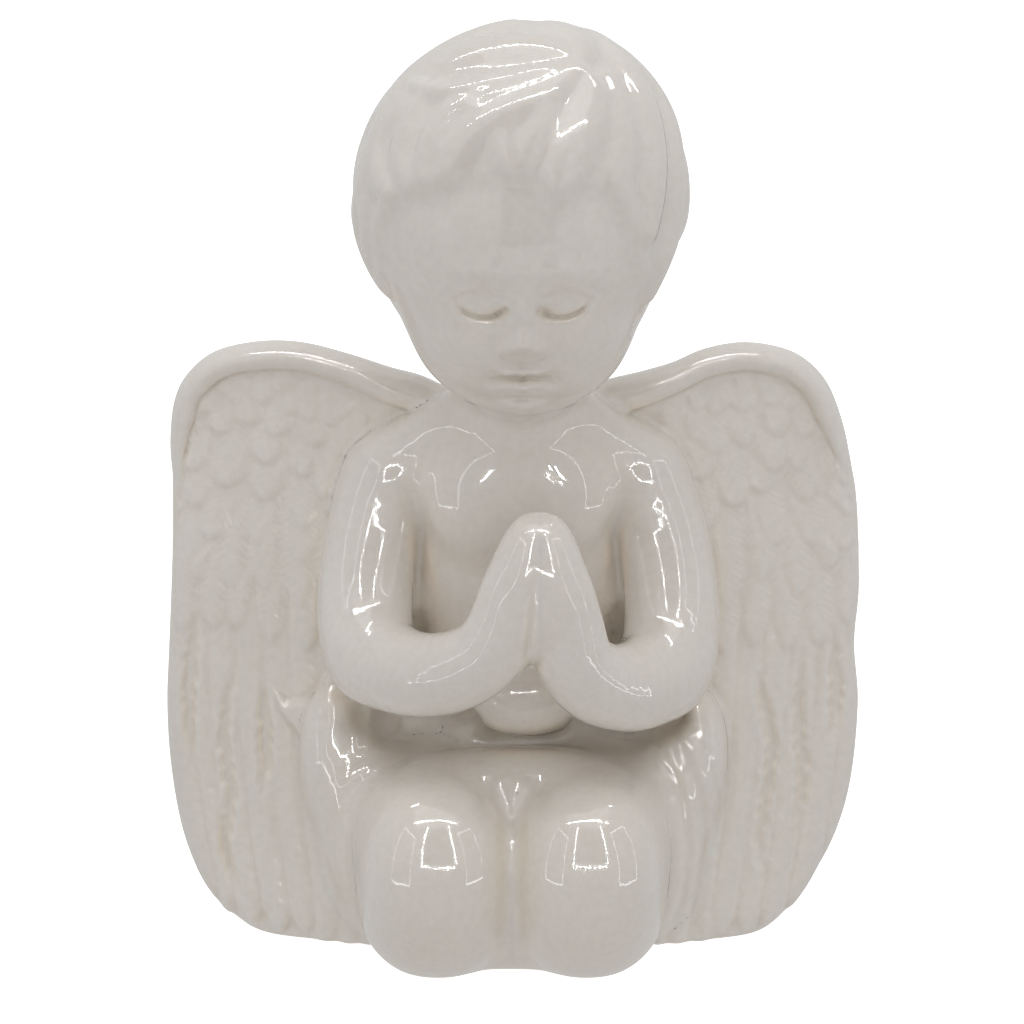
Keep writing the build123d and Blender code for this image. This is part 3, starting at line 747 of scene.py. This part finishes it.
def total_of(D, p):
    legs = smin(D[6], D[7], 3.6)
    body = smin(D[1], legs, 4.6)
    near = (p[:, 2] > 22) & (p[:, 2] < 42) & (p[:, 1] < 14)
    if near.any():
        q = p[near]
        b = smax(body[near], -ell(q, (-12.6, -1.0, 32.9), (8.0, 10.0, 2.7)), 2.0)
        body[near] = smax(b, -ell(q, (15.6, -1.0, 32.4), (7.6, 10.0, 2.7)), 2.0)
    wings = np.minimum(D[4], D[5])
    d = smin(body, wings, 1.8)
    k = 1.2 + 3.4 * sstep(p[:, 2], 44.0, 50.0)
    gap = np.maximum(k - np.abs(D[2] - D[3]), 0) / k
    arms = np.minimum(D[2], D[3]) - gap * gap * k * F32(0.25)
    # the line where the palms meet
    on = (np.abs(arms) < 3) & (p[:, 1] < -17.0) & (p[:, 2] > 45)
    if on.any():
        q = p[on]
        xg = 1.7 + 0.085 * (q[:, 2] - 46.0)
        arms[on] += 0.42 * np.exp(-((q[:, 0] - xg) / 0.62) ** 2) * sstep(q[:, 2], 45.5, 48.0) * (1 - sstep(q[:, 2], 52.0, 59.5))
    d = smin(d, arms, 1.4)
    d = smin(d, D[0], 1.8)
    # flat underside, with the glaze rounded at its edge
    d = smax(d, -(p[:, 2] - F32(0.25)), 1.2)
    # recess for the foot plate
    q = np.abs(p[:, :2] - A(0, PLATE[2])) - A(PLATE[0] - 8.0, PLATE[1] - 8.0)
    e = np.sqrt((np.maximum(q, 0) ** 2).sum(1)) + np.minimum(q.max(1), 0) - 8.0
    rec = np.maximum(e, p[:, 2] - 3.0)
    return np.maximum(d, -rec)


def total(p, want=False, chunk=120000):
    out = np.empty(len(p), F32)
    lab = np.empty(len(p), np.int8) if want else None
    for i in range(0, len(p), chunk):
        q = np.ascontiguousarray(p[i:i + chunk], F32)
        D = part_fields(q)
        out[i:i + chunk] = total_of(D, q)
        if want:
            # the palms part on a plane; elsewhere each point goes to the nearest casting, the torso yielding a little
            both = (D[2] < 1.5) & (D[3] < 1.5)
            D[2] = np.where(both, (q[:, 0] - 3.3) * 0.5, D[2])
            D[3] = np.where(both, (3.3 - q[:, 0]) * 0.5, D[3])
            D[1] += 0.25
            lab[i:i + chunk] = D.argmin(0) + 1
    return (out, lab) if want else out
# ============================================================== SCULPT END


# ----------------------------------------------------------------- meshing
def refine(h, lo, hi):
    """Blocks of 2x2x2 cells that hold the surface or a wall between castings."""
    n0 = np.ceil((hi - lo) / (8 * h)).astype(int)
    I = np.stack(np.meshgrid(*[np.arange(n) for n in n0], indexing="ij"), -1).reshape(-1, 3)
    offs = np.stack(np.meshgrid([0, 1], [0, 1], [0, 1], indexing="ij"), -1).reshape(-1, 3)
    size = 8
    while True:
        c = (lo + (I + 0.5) * size * h).astype(F32)
        keep = np.zeros(len(c), bool)
        rad = size * h * 0.5 * math.sqrt(3)
        band = rad * 1.55 + 0.45
        for i in range(0, len(c), 120000):
            q = c[i:i + 120000]
            D = part_fields(q)
            t = total_of(D, q)
            D[2:4] -= 1.5
            D.partition(1, axis=0)
            gap = D[1] - D[0]
            keep[i:i + 120000] = (np.abs(t) < band) | ((t < band) & (gap < 2 * band + 0.8))
        I = I[keep]
        if size == 2:
            return I, n0 * 8
        size //= 2
        I = (I[:, None] * 2 + offs[None]).reshape(-1, 3)


def gradient(p, e):
    k = np.array([(1, -1, -1), (-1, -1, 1), (-1, 1, -1), (1, 1, 1)], F32)
    g = np.zeros(p.shape, F32)
    for v in k:
        g += v * total(p + v * F32(e))[:, None]
    return g / F32(4 * e)


def surface_nets(h):
    lo = np.array([-50.4, -27.6, -0.9])
    hi = np.array([50.4, 27.6, 127.5])
    B, dims = refine(h, lo, hi)
    N = dims + 1
    sx, sy, sz = N[1] * N[2], N[2], 1
    base = (B[:, 0] * 2 * sx + B[:, 1] * 2 * sy + B[:, 2] * 2).astype(np.int64)
    mark = np.zeros(int(N.prod()), bool)
    for i in range(3):
        for j in range(3):
            for k in range(3):
                mark[base + i * sx + j * sy + k] = True
    key = np.flatnonzero(mark)
    pos = np.full(int(N.prod()), -1, np.int32)
    pos[key] = np.arange(len(key), dtype=np.int32)
    P = np.stack([key // sx, (key % sx) // sy, key % sy], 1)
    X = (lo + P * h).astype(F32)
    val, lab = total(X, True)
    lab = np.where(val > 0, 0, lab).astype(np.int8)
    print("points", len(key), "t", round(time.time() - T0, 1))
    cells = (base[:, None] + np.array([i * sx + j * sy + k for i in (0, 1) for j in (0, 1) for k in (0, 1)])).ravel()
    corner = np.array([i * sx + j * sy + k for i in (0, 1) for j in (0, 1) for k in (0, 1)])
    L = lab[pos[cells[:, None] + corner]]
    act = (L != L[:, :1]).any(1)
    cells = cells[act]
    ci = pos[cells[:, None] + corner]
    L = lab[ci]
    V = val[ci]
    outer = (L == 0).any(1)
    cc = np.array([(i, j, k) for i in (0, 1) for j in (0, 1) for k in (0, 1)], F32)
    acc = np.zeros((len(cells), 3), F32)
    cnt = np.zeros(len(cells), F32)
    for a in range(8):
        for b in range(a + 1, 8):
            if np.abs(cc[a] - cc[b]).sum() != 1:
                continue
            la, lb = L[:, a], L[:, b]
            out = (la == 0) != (lb == 0)
            use = np.where(outer, out, la != lb)
            va, vb = V[:, a], V[:, b]
            t = np.where(out, va / np.where(np.abs(va - vb) < 1e-9, 1, va - vb), 0.5)
            q = cc[a] + (cc[b] - cc[a]) * t[:, None]
            acc += np.where(use[:, None], q, 0)
            cnt += use
    acc /= np.maximum(cnt, 1)[:, None]
    cp = np.stack([cells // sx, (cells % sx) // sy, cells % sy], 1)
    verts = (lo + (cp + acc) * h).astype(F32)
    pos[:] = -1
    pos[cells] = np.arange(len(cells), dtype=np.int32)
    quads, la_all, lb_all = [], [], []
    full = np.full(int(N.prod()), -1, np.int8)
    full[key] = lab
    lost = 0
    for s, u, v in ((sx, sy, sz), (sy, sz, sx), (sz, sx, sy)):
        k = key[key + s < len(full)]
        a, b = full[k], full[k + s]
        m = (b >= 0) & (a != b)
        k, a, b = k[m], a[m], b[m]
        q = np.stack([pos[k - u - v], pos[k - v], pos[k], pos[k - u]], 1)
        ok = (q >= 0).all(1)
        lost += int((~ok).sum())
        quads.append(q[ok])
        la_all.append(a[ok])
        lb_all.append(b[ok])
    print("verts", len(verts), "lost", lost, "t", round(time.time() - T0, 1))
    return verts, outer, np.vstack(quads), np.concatenate(la_all), np.concatenate(lb_all)


def sculpt(h):
    verts, outer, quads, la, lb = surface_nets(h)
    o = np.flatnonzero(outer)
    p = verts[o]
    for _ in range(2):
        g = gradient(p, 0.10)
        d = total(p)
        s = d / np.maximum((g * g).sum(1), 0.25)
        p = p - g * np.clip(s, -0.6 * h, 0.6 * h)[:, None]
    p[:, 2] = np.maximum(p[:, 2], 0.0)
    verts[o] = p
    # walls between castings stay under the glaze
    inner = np.flatnonzero(~outer)
    d = total(verts[inner])
    inner = inner[d > -0.8 * h]
    if len(inner):
        q = verts[inner]
        g = gradient(q, 0.11)
        d = (total(q) + F32(0.85 * h)) / np.maximum((g * g).sum(1), 0.25)
        verts[inner] = q - g * np.clip(d, 0, 1.2 * h)[:, None]
    g = gradient(p, 0.11)
    n = np.zeros(verts.shape, F32)
    n[o] = g / np.maximum(np.sqrt((g * g).sum(1)), 1e-6)[:, None]
    tone = np.ones((len(verts), 4), F32)
    tone[:, 3] = 0
    no = n[o]
    # cavity and crest measures from the field; the glaze uses them for painted shade in creases, painted bounce light
    # in hollows and paler crests
    tone[o, 0] = np.clip(total(p + no * F32(0.7)) / F32(0.7), -0.5, 1.5)
    tone[o, 1] = np.clip(total(p + no * F32(3.2)) / F32(3.2), -0.5, 1.5)
    tone[o, 2] = np.clip(-total(p - no * F32(0.7)) / F32(0.7), -0.5, 1.5)
    # painted shade: the two clefts between the forearms and the lap get a mask for a dark olive-brown tint where shadow
    # falls
    c = np.minimum(ell(p, (-12.4, 3.0, 31.6), (12.0, 12.0, 4.6)), ell(p, (13.6, 3.0, 31.2), (12.0, 12.0, 4.6)))
    tone[o, 3] = (1 - sstep(c, -1.8, 1.6)) * (1 - sstep(p[:, 1], -1.5, 3.0))
    print("sculpted", len(verts), "t", round(time.time() - T0, 1))
    return verts, n, tone, quads, la, lb


def piece(name, label, data):
    verts, n, tone, quads, la, lb = data
    qa = quads[la == label]
    qb = quads[lb == label][:, ::-1]
    wall = np.concatenate([lb[la == label] != 0, la[lb == label] != 0])
    Q = np.vstack([qa, qb])
    used, inv = np.unique(Q, return_inverse=True)
    inv = inv.reshape(Q.shape).astype(np.int32)
    me = bpy.data.meshes.new(name)
    me.vertices.add(len(used))
    me.vertices.foreach_set("co", (verts[used] * F32(0.001)).ravel())
    me.loops.add(len(Q) * 4)
    me.loops.foreach_set("vertex_index", inv.ravel())
    me.polygons.add(len(Q))
    me.polygons.foreach_set("loop_start", np.arange(0, len(Q) * 4, 4, dtype=np.int32))
    me.update(calc_edges=True)
    me.validate()
    if len(me.polygons) == len(Q):
        ln = n[used][inv]
        ln[wall] = 0
        me.polygons.foreach_set("use_smooth", np.ones(len(Q), bool))
        me.normals_split_custom_set(ln.reshape(-1, 3).tolist())
    else:
        print("note:", name, "faces dropped", len(Q) - len(me.polygons))
        me.polygons.foreach_set("use_smooth", np.ones(len(me.polygons), bool))
    for k, nm in enumerate(("fine", "deep", "crest", "cleft_shade")):
        at = me.attributes.new(nm, "FLOAT", "POINT")
        at.data.foreach_set("value", np.ascontiguousarray(tone[used, k]))
    ob = bpy.data.objects.new(name, me)
    bpy.context.scene.collection.objects.link(ob)
    return ob


# --------------------------------------------------------------- materials
class Nodes:
    def __init__(self, name):
        self.mat = bpy.data.materials.new(name)
        self.mat.use_nodes = True
        self.t = self.mat.node_tree
        self.t.nodes.clear()
        self.out = self.t.nodes.new("ShaderNodeOutputMaterial")
        self.bsdf = self.t.nodes.new("ShaderNodeBsdfPrincipled")
        self.t.links.new(self.bsdf.outputs[0], self.out.inputs[0])

    def new(self, kind, **kw):
        n = self.t.nodes.new(kind)
        for k, v in kw.items():
            setattr(n, k, v)
        return n

    def link(self, a, b):
        self.t.links.new(a, b)

    def math(self, op, a, b=None, c=None, clamp=False):
        n = self.new("ShaderNodeMath", operation=op, use_clamp=clamp)
        for i, v in enumerate((a, b, c)):
            if v is None:
                continue
            if isinstance(v, (int, float)):
                n.inputs[i].default_value = v
            else:
                self.link(v, n.inputs[i])
        return n.outputs[0]

    def rng(self, v, a, b, c=0.0, d=1.0, smooth=False):
        n = self.new("ShaderNodeMapRange", interpolation_type="SMOOTHSTEP" if smooth else "LINEAR", clamp=True)
        self.link(v, n.inputs["Value"])
        for k, x in (("From Min", a), ("From Max", b), ("To Min", c), ("To Max", d)):
            n.inputs[k].default_value = x
        return n.outputs[0]

    def mix(self, f, a, b, mode="MIX"):
        n = self.new("ShaderNodeMix", data_type="RGBA", blend_type=mode)
        for s, v in ((n.inputs[0], f), (n.inputs[6], a), (n.inputs[7], b)):
            if isinstance(v, (int, float)):
                s.default_value = v
            elif isinstance(v, tuple):
                s.default_value = v + (1.0,)
            else:
                self.link(v, s)
        return n.outputs[2]

    def noise(self, scale, detail=2.0, rough=0.5, dist=0.0, co=None):
        n = self.new("ShaderNodeTexNoise")
        n.inputs["Scale"].default_value = scale
        n.inputs["Detail"].default_value = detail
        n.inputs["Roughness"].default_value = rough
        n.inputs["Distortion"].default_value = dist
        if co is not None:
            self.link(co, n.inputs["Vector"])
        return n.outputs[0]


def glaze_material():
    m = Nodes("glaze_pearl_white")
    tc = m.new("ShaderNodeTexCoord")
    co = tc.outputs["Object"]
    at = {}
    for nm in ("fine", "deep", "crest", "cleft_shade"):
        a = m.new("ShaderNodeAttribute", attribute_name=nm, attribute_type="GEOMETRY")
        at[nm] = a.outputs["Fac"]
    # painted shade and light: fine creases darken warm, partly real pooled glaze and partly painted shade; deep hollows
    # take a lighter warm tint that is painted bounce light; the glaze runs thin and pale on crests
    pool_and_shade = m.rng(at["fine"], 0.97, 0.40, smooth=False)
    hollow_bounce_light = m.rng(at["deep"], 0.98, 0.25)
    crest = m.rng(at["crest"], 0.98, 0.55)
    cloud = m.noise(70.0, 3.0, 0.55, 0.4, co)
    base = m.mix(m.rng(cloud, 0.30, 0.72), (0.775, 0.732, 0.684), (0.822, 0.784, 0.738))
    # painted bounce light: deep hollows lightened to a warm tint
    c = m.mix(m.math("MULTIPLY", hollow_bounce_light, 0.80), base, (0.900, 0.825, 0.730))
    # painted shade, with real pooled glaze: fine creases darkened warm brown
    c = m.mix(m.math("MULTIPLY", pool_and_shade, 0.75), c, (0.640, 0.560, 0.465))
    c = m.mix(m.math("MULTIPLY", crest, 0.55), c, (0.875, 0.855, 0.825))
    # painted shade: dark olive-brown tint in the clefts under the forearms
    c = m.mix(m.math("MULTIPLY", at["cleft_shade"], 0.50), c, (0.40, 0.335, 0.235))
    # fine mottling, and a few brown specks and pinholes fired into the glaze
    mott = m.noise(900.0, 2.0, 0.6, 0.0, co)
    c = m.mix(m.rng(mott, 0.35, 0.75, 0.0, 0.15), c, (0.52, 0.47, 0.42))
    v = m.new("ShaderNodeTexVoronoi", feature="F1")
    v.inputs["Scale"].default_value = 95.0
    v.inputs["Randomness"].default_value = 1.0
    m.link(co, v.inputs["Vector"])
    r = m.math("MULTIPLY", m.noise(23.0, 1.0, 0.5, 0.0, co), 0.050)
    r = m.math("SUBTRACT", r, 0.021)
    speck = m.rng(m.math("SUBTRACT", v.outputs["Distance"], r), 0.012, -0.004)
    rare = m.rng(v.outputs["Color"], 0.80, 0.86)
    speck = m.math("MULTIPLY", speck, rare)
    c = m.mix(m.math("MULTIPLY", speck, 0.85), c, (0.23, 0.18, 0.13))
    m.link(c, m.bsdf.inputs["Base Color"])
    rough = m.rng(m.noise(260.0, 2.0, 0.5, 0.0, co), 0.3, 0.7, 0.045, 0.09)
    m.link(rough, m.bsdf.inputs["Roughness"])
    b = m.bsdf.inputs
    b["IOR"].default_value = 1.52
    b["Coat Weight"].default_value = 0.35
    b["Coat Roughness"].default_value = 0.03
    b["Subsurface Weight"].default_value = 0.12
    b["Subsurface Radius"].default_value = (1.0, 0.8, 0.62)
    b["Subsurface Scale"].default_value = 0.0012
    # the surface of poured glaze is never quite flat
    bump = m.new("ShaderNodeBump")
    bump.inputs["Strength"].default_value = 0.28
    bump.inputs["Distance"].default_value = 0.00022
    hh = m.math("ADD", m.math("MULTIPLY", m.noise(190.0, 2.0, 0.45, 0.2, co), 1.0), m.math("MULTIPLY", m.noise(700.0, 1.5, 0.5, 0.0, co), 0.18))
    hh = m.math("SUBTRACT", hh, m.math("MULTIPLY", speck, 0.35))
    m.link(hh, bump.inputs["Height"])
    m.link(bump.outputs[0], m.bsdf.inputs["Normal"])
    m.link(bump.outputs[0], m.bsdf.inputs["Coat Normal"])
    return m.mat


def bisque_material():
    m = Nodes("bisque_unglazed")
    tc = m.new("ShaderNodeTexCoord")
    co = tc.outputs["Object"]
    n = m.noise(420.0, 4.0, 0.62, 0.0, co)
    c = m.mix(m.rng(n, 0.3, 0.72), (0.62, 0.57, 0.50), (0.74, 0.70, 0.63))
    d = m.noise(60.0, 3.0, 0.6, 0.5, co)
    c = m.mix(m.rng(d, 0.52, 0.75, 0.0, 0.45), c, (0.50, 0.42, 0.33))
    m.link(c, m.bsdf.inputs["Base Color"])
    m.link(m.rng(n, 0.3, 0.7, 0.72, 0.92), m.bsdf.inputs["Roughness"])
    bump = m.new("ShaderNodeBump")
    bump.inputs["Strength"].default_value = 0.6
    bump.inputs["Distance"].default_value = 0.00012
    m.link(m.noise(2600.0, 3.0, 0.6, 0.0, co), bump.inputs["Height"])
    m.link(bump.outputs[0], m.bsdf.inputs["Normal"])
    return m.mat


def foot_plate():
    """The unglazed stopper: a rounded slab, its edges eased, with the firing vent."""
    rings = []
    n = 72
    hx, hy, r, cy, T = 14.5, 11.5, 8.0, PLATE[2], 3.0

    def outline(inset):
        pts = []
        for i in range(n):
            a = 2 * math.pi * i / n
            sx, sy = math.copysign(1, math.cos(a)), math.copysign(1, math.sin(a))
            pts.append((sx * (hx - r) + (r - inset) * math.cos(a), cy + sy * (hy - r) + (r - inset) * math.sin(a)))
        return pts

    def hole(rad):
        return [(rad * math.cos(2 * math.pi * i / n), cy + rad * math.sin(2 * math.pi * i / n)) for i in range(n)]

    b = 0.55
    for pts, z in ((hole(1.8), T - 0.02), (outline(0.2), T - 0.02), (outline(0.0), T - 0.25), (outline(0.0), b), (outline(b * 0.3), b * 0.3), (outline(b), 0.0),
                   (hole(2.3), 0.0), (hole(1.95), 0.15), (hole(1.8), 0.5)):
        rings.append([(x, y, z) for x, y in pts])
    vs = [tuple(c * 0.001 for c in p) for ring in rings for p in ring]
    m = len(rings)
    fs = []
    for k in range(m):
        a, c = k * n, ((k + 1) % m) * n
        for i in range(n):
            j = (i + 1) % n
            fs.append((a + i, c + i, c + j, a + j))
    me = bpy.data.meshes.new("foot_plate")
    me.from_pydata(vs, [], fs)
    me.validate()
    ob = bpy.data.objects.new("foot_plate", me)
    bpy.context.scene.collection.objects.link(ob)
    import bmesh
    bm = bmesh.new()
    bm.from_mesh(me)
    bmesh.ops.recalc_face_normals(bm, faces=bm.faces)
    bm.to_mesh(me)
    bm.free()
    for p in me.polygons:
        p.use_smooth = True
    mod = ob.modifiers.new("edges", "EDGE_SPLIT")
    mod.split_angle = math.radians(50)
    ob.modifiers.remove(mod)
    return ob


H = 0.30
data = sculpt(H)
glaze = glaze_material()
bisque = bisque_material()
JOINTS = {
    "head": ("head", "neck_joint"),
    "torso": ("torso",),
    "right_arm": ("right_arm", "right_shoulder_joint", "palm_joint"),
    "left_arm": ("left_arm", "left_shoulder_joint"),
    "right_wing": ("right_wing", "right_wing_joint"),
    "left_wing": ("left_wing", "left_wing_joint"),
    "right_leg": ("right_leg", "right_hip_joint"),
    "left_leg": ("left_leg", "left_hip_joint"),
}
for i, n in enumerate(NAMES):
    ob = piece(n + "_casting", i + 1, data)
    ob.data.materials.append(glaze)
    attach(ob, "root")
    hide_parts(*JOINTS[n])
foot = foot_plate()
foot.data.materials.append(bisque)
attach(foot, "root")
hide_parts("base_plate", "base_joint")

# ------------------------------------------------------ floor, light, camera
scene = bpy.context.scene
scene.view_settings.view_transform = "Standard"
scene.view_settings.look = "None"


def plane(name, cx, cy, z, sx, sy):
    me = bpy.data.meshes.new(name)
    me.from_pydata([(cx - sx, cy - sy, z), (cx + sx, cy - sy, z), (cx + sx, cy + sy, z), (cx - sx, cy + sy, z)], [], [(0, 1, 2, 3)])
    ob = bpy.data.objects.new(name, me)
    scene.collection.objects.link(ob)
    return ob


floor = plane("floor", 0, 0.4, -0.0002, 8.0, 8.0)
fm = Nodes("floor_white")
fm.bsdf.inputs["Base Color"].default_value = (0.93, 0.93, 0.93, 1)
fm.bsdf.inputs["Roughness"].default_value = 0.9
fm.bsdf.inputs["Specular IOR Level"].default_value = 0.1
fm.bsdf.inputs["Emission Color"].default_value = (1, 1, 1, 1)
fm.bsdf.inputs["Emission Strength"].default_value = 0.72
floor.data.materials.append(fm.mat)
floor.visible_diffuse = False
floor.visible_glossy = False
floor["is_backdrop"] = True

w = bpy.data.worlds.new("studio")
scene.world = w
w.use_nodes = True
t = w.node_tree
t.nodes.clear()
wo = t.nodes.new("ShaderNodeOutputWorld")
bg = t.nodes.new("ShaderNodeBackground")
cam_bg = t.nodes.new("ShaderNodeBackground")
cam_bg.inputs[0].default_value = (1, 1, 1, 1)
cam_bg.inputs[1].default_value = 1.07
lp = t.nodes.new("ShaderNodeLightPath")
mx = t.nodes.new("ShaderNodeMixShader")
tcw = t.nodes.new("ShaderNodeTexCoord")
sep = t.nodes.new("ShaderNodeSeparateXYZ")
t.links.new(tcw.outputs["Generated"], sep.inputs[0])
ramp = t.nodes.new("ShaderNodeValToRGB")
cr = ramp.color_ramp
half = t.nodes.new("ShaderNodeMath")
half.operation = "MULTIPLY_ADD"
half.inputs[1].default_value = 0.5
half.inputs[2].default_value = 0.5
cr.elements[0].position = 0.0
cr.elements[0].color = (0.64, 0.625, 0.605, 1)
cr.elements[1].position = 1.0
cr.elements[1].color = (0.78, 0.78, 0.775, 1)
for at_, c_ in ((0.45, 0.63), (0.56, 0.66), (0.75, 0.66)):
    e = cr.elements.new(at_)
    e.color = (c_, c_ * 0.995, c_ * 0.99, 1)
t.links.new(sep.outputs[2], half.inputs[0])
t.links.new(half.outputs[0], ramp.inputs[0])
t.links.new(ramp.outputs[0], bg.inputs[0])
bg.inputs[1].default_value = 1.0
t.links.new(lp.outputs["Is Camera Ray"], mx.inputs[0])
t.links.new(bg.outputs[0], mx.inputs[1])
t.links.new(cam_bg.outputs[0], mx.inputs[2])
t.links.new(mx.outputs[0], wo.inputs[0])


def area(name, loc, target, size, power, spec=1.0, color=(1, 1, 1)):
    l = bpy.data.lights.new(name, "AREA")
    l.shape = "RECTANGLE"
    l.size, l.size_y = size
    l.energy = power
    l.color = color
    l.specular_factor = spec
    ob = bpy.data.objects.new(name, l)
    from mathutils import Vector
    ob.location = loc
    d = Vector(target) - Vector(loc)
    ob.rotation_euler = d.to_track_quat("-Z", "Y").to_euler()
    scene.collection.objects.link(ob)
    return ob


area("top_panel", (0.0, -0.10, 0.62), (0, 0.0, 0.06), (0.55, 0.45), 0.62, 0.0, (1.0, 0.99, 0.975))

def glow(name, strength):
    m = bpy.data.materials.new(name)
    m.use_nodes = True
    n = m.node_tree
    n.nodes.clear()
    o = n.nodes.new("ShaderNodeOutputMaterial")
    em = n.nodes.new("ShaderNodeEmission")
    em.inputs[0].default_value = (1, 1, 1, 1)
    em.inputs[1].default_value = strength
    n.links.new(em.outputs[0], o.inputs[0])
    return m


def around(az, e_, r=0.30, c=(0.0, 0.0, 0.05)):
    az, e_ = math.radians(az), math.radians(e_)
    return (c[0] + r * math.cos(e_) * math.sin(az), c[1] - r * math.cos(e_) * math.cos(az), c[2] + r * math.sin(e_))


def rig(name, vs, fs, strength):
    """Lamps and panels that only show as reflections in the glaze."""
    me = bpy.data.meshes.new(name)
    me.from_pydata(vs, [], fs)
    ob = bpy.data.objects.new(name, me)
    me.materials.append(glow(name, strength))
    scene.collection.objects.link(ob)
    ob.visible_camera = False
    ob.visible_diffuse = False
    ob.visible_transmission = False
    ob.visible_shadow = False
    ob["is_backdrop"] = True
    return ob


def dots(name, places, rad, strength):
    vs, fs = [], []
    for (x, y, z) in places:
        b = len(vs)
        vs += [(x + rad, y, z), (x - rad, y, z), (x, y + rad, z), (x, y - rad, z), (x, y, z + rad), (x, y, z - rad)]
        fs += [(b, b + 2, b + 4), (b + 2, b + 1, b + 4), (b + 1, b + 3, b + 4), (b + 3, b, b + 4), (b + 2, b, b + 5), (b + 1, b + 2, b + 5), (b + 3, b + 1, b + 5), (b, b + 3, b + 5)]
    return rig(name, vs, fs, strength)


def frame_of(name, corners, wid, strength):
    """A thin lit outline round a panel given by its corners."""
    from mathutils import Vector
    P = [Vector(c) for c in corners]
    mid = sum(P, Vector()) / len(P)
    Q = [mid + (c - mid) * (1 + wid / (c - mid).length) for c in P]
    vs = [tuple(v) for v in P] + [tuple(v) for v in Q]
    k = len(P)
    return rig(name, vs, [(i, (i + 1) % k, k + (i + 1) % k, k + i) for i in range(k)], strength)


lamps = [around(-17, e_) for e_ in range(8, 58, 5)] + [around(27, e_) for e_ in range(8, 58, 5)] + [around(a_, 3.5) for a_ in range(-17, 28, 5)]
u_lamp = dots("lamp_dots_front", lamps, 0.0055, 130.0)
bar = [(-0.17 + 0.017 * i, -0.125, 0.335) for i in range(21)] + [(-0.17 + 0.017 * i, 0.045, 0.345) for i in range(21)]
dots("lamp_dots_top", bar, 0.0055, 110.0)
opening = [around(-15, 6), around(25, 6), around(23, 50), around(-13, 50)]
near = [u_lamp, rig("lamp_opening", opening, [(0, 1, 2, 3)], 0.22)]
for i, (a0, a1) in enumerate(((-66, -34), (44, 76))):
    c4 = [around(a0, -14), around(a1, -14), around(a1, 34), around(a0, 40)]
    near.append(frame_of("lamp_edge_%d" % i, c4, 0.007, 7.0))
# the low lamps reach the knees, arms and wings, not the bowed face
reach = bpy.data.collections.new("reach")
for ob in list(scene.objects):
    if ob.name in ("torso_casting", "right_arm_casting", "left_arm_casting", "right_leg_casting", "left_leg_casting"):
        reach.objects.link(ob)
reach_w = bpy.data.collections.new("reach_wings")
for ob in list(scene.objects):
    if ob.name in ("right_wing_casting", "left_wing_casting"):
        reach_w.objects.link(ob)
dots("lamp_dots_wings", lamps, 0.0045, 62.0).light_linking.receiver_collection = reach_w
for ob in near:
    ob.light_linking.receiver_collection = reach

cam = bpy.data.cameras.new("camera")
co = bpy.data.objects.new("camera", cam)
scene.collection.objects.link(co)
cam.sensor_width = 36.0
cam.lens = 3368.0 / 1024.0 * 36.0
cam.clip_start = 0.01
cam.clip_end = 20
el = math.radians(12.0)
px = 1.5 / 3368.0
co.location = (0.0, -0.44017, 0.15396)
co.rotation_euler = (math.radians(90) - el, 0, 0)
cam.shift_x = -1.5 / 1024.0
scene.camera = co

size = {"cad": cad_box, "visual": [list(map(float, v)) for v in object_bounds()]}
import json
print("size", size, "t", round(time.time() - T0, 1))
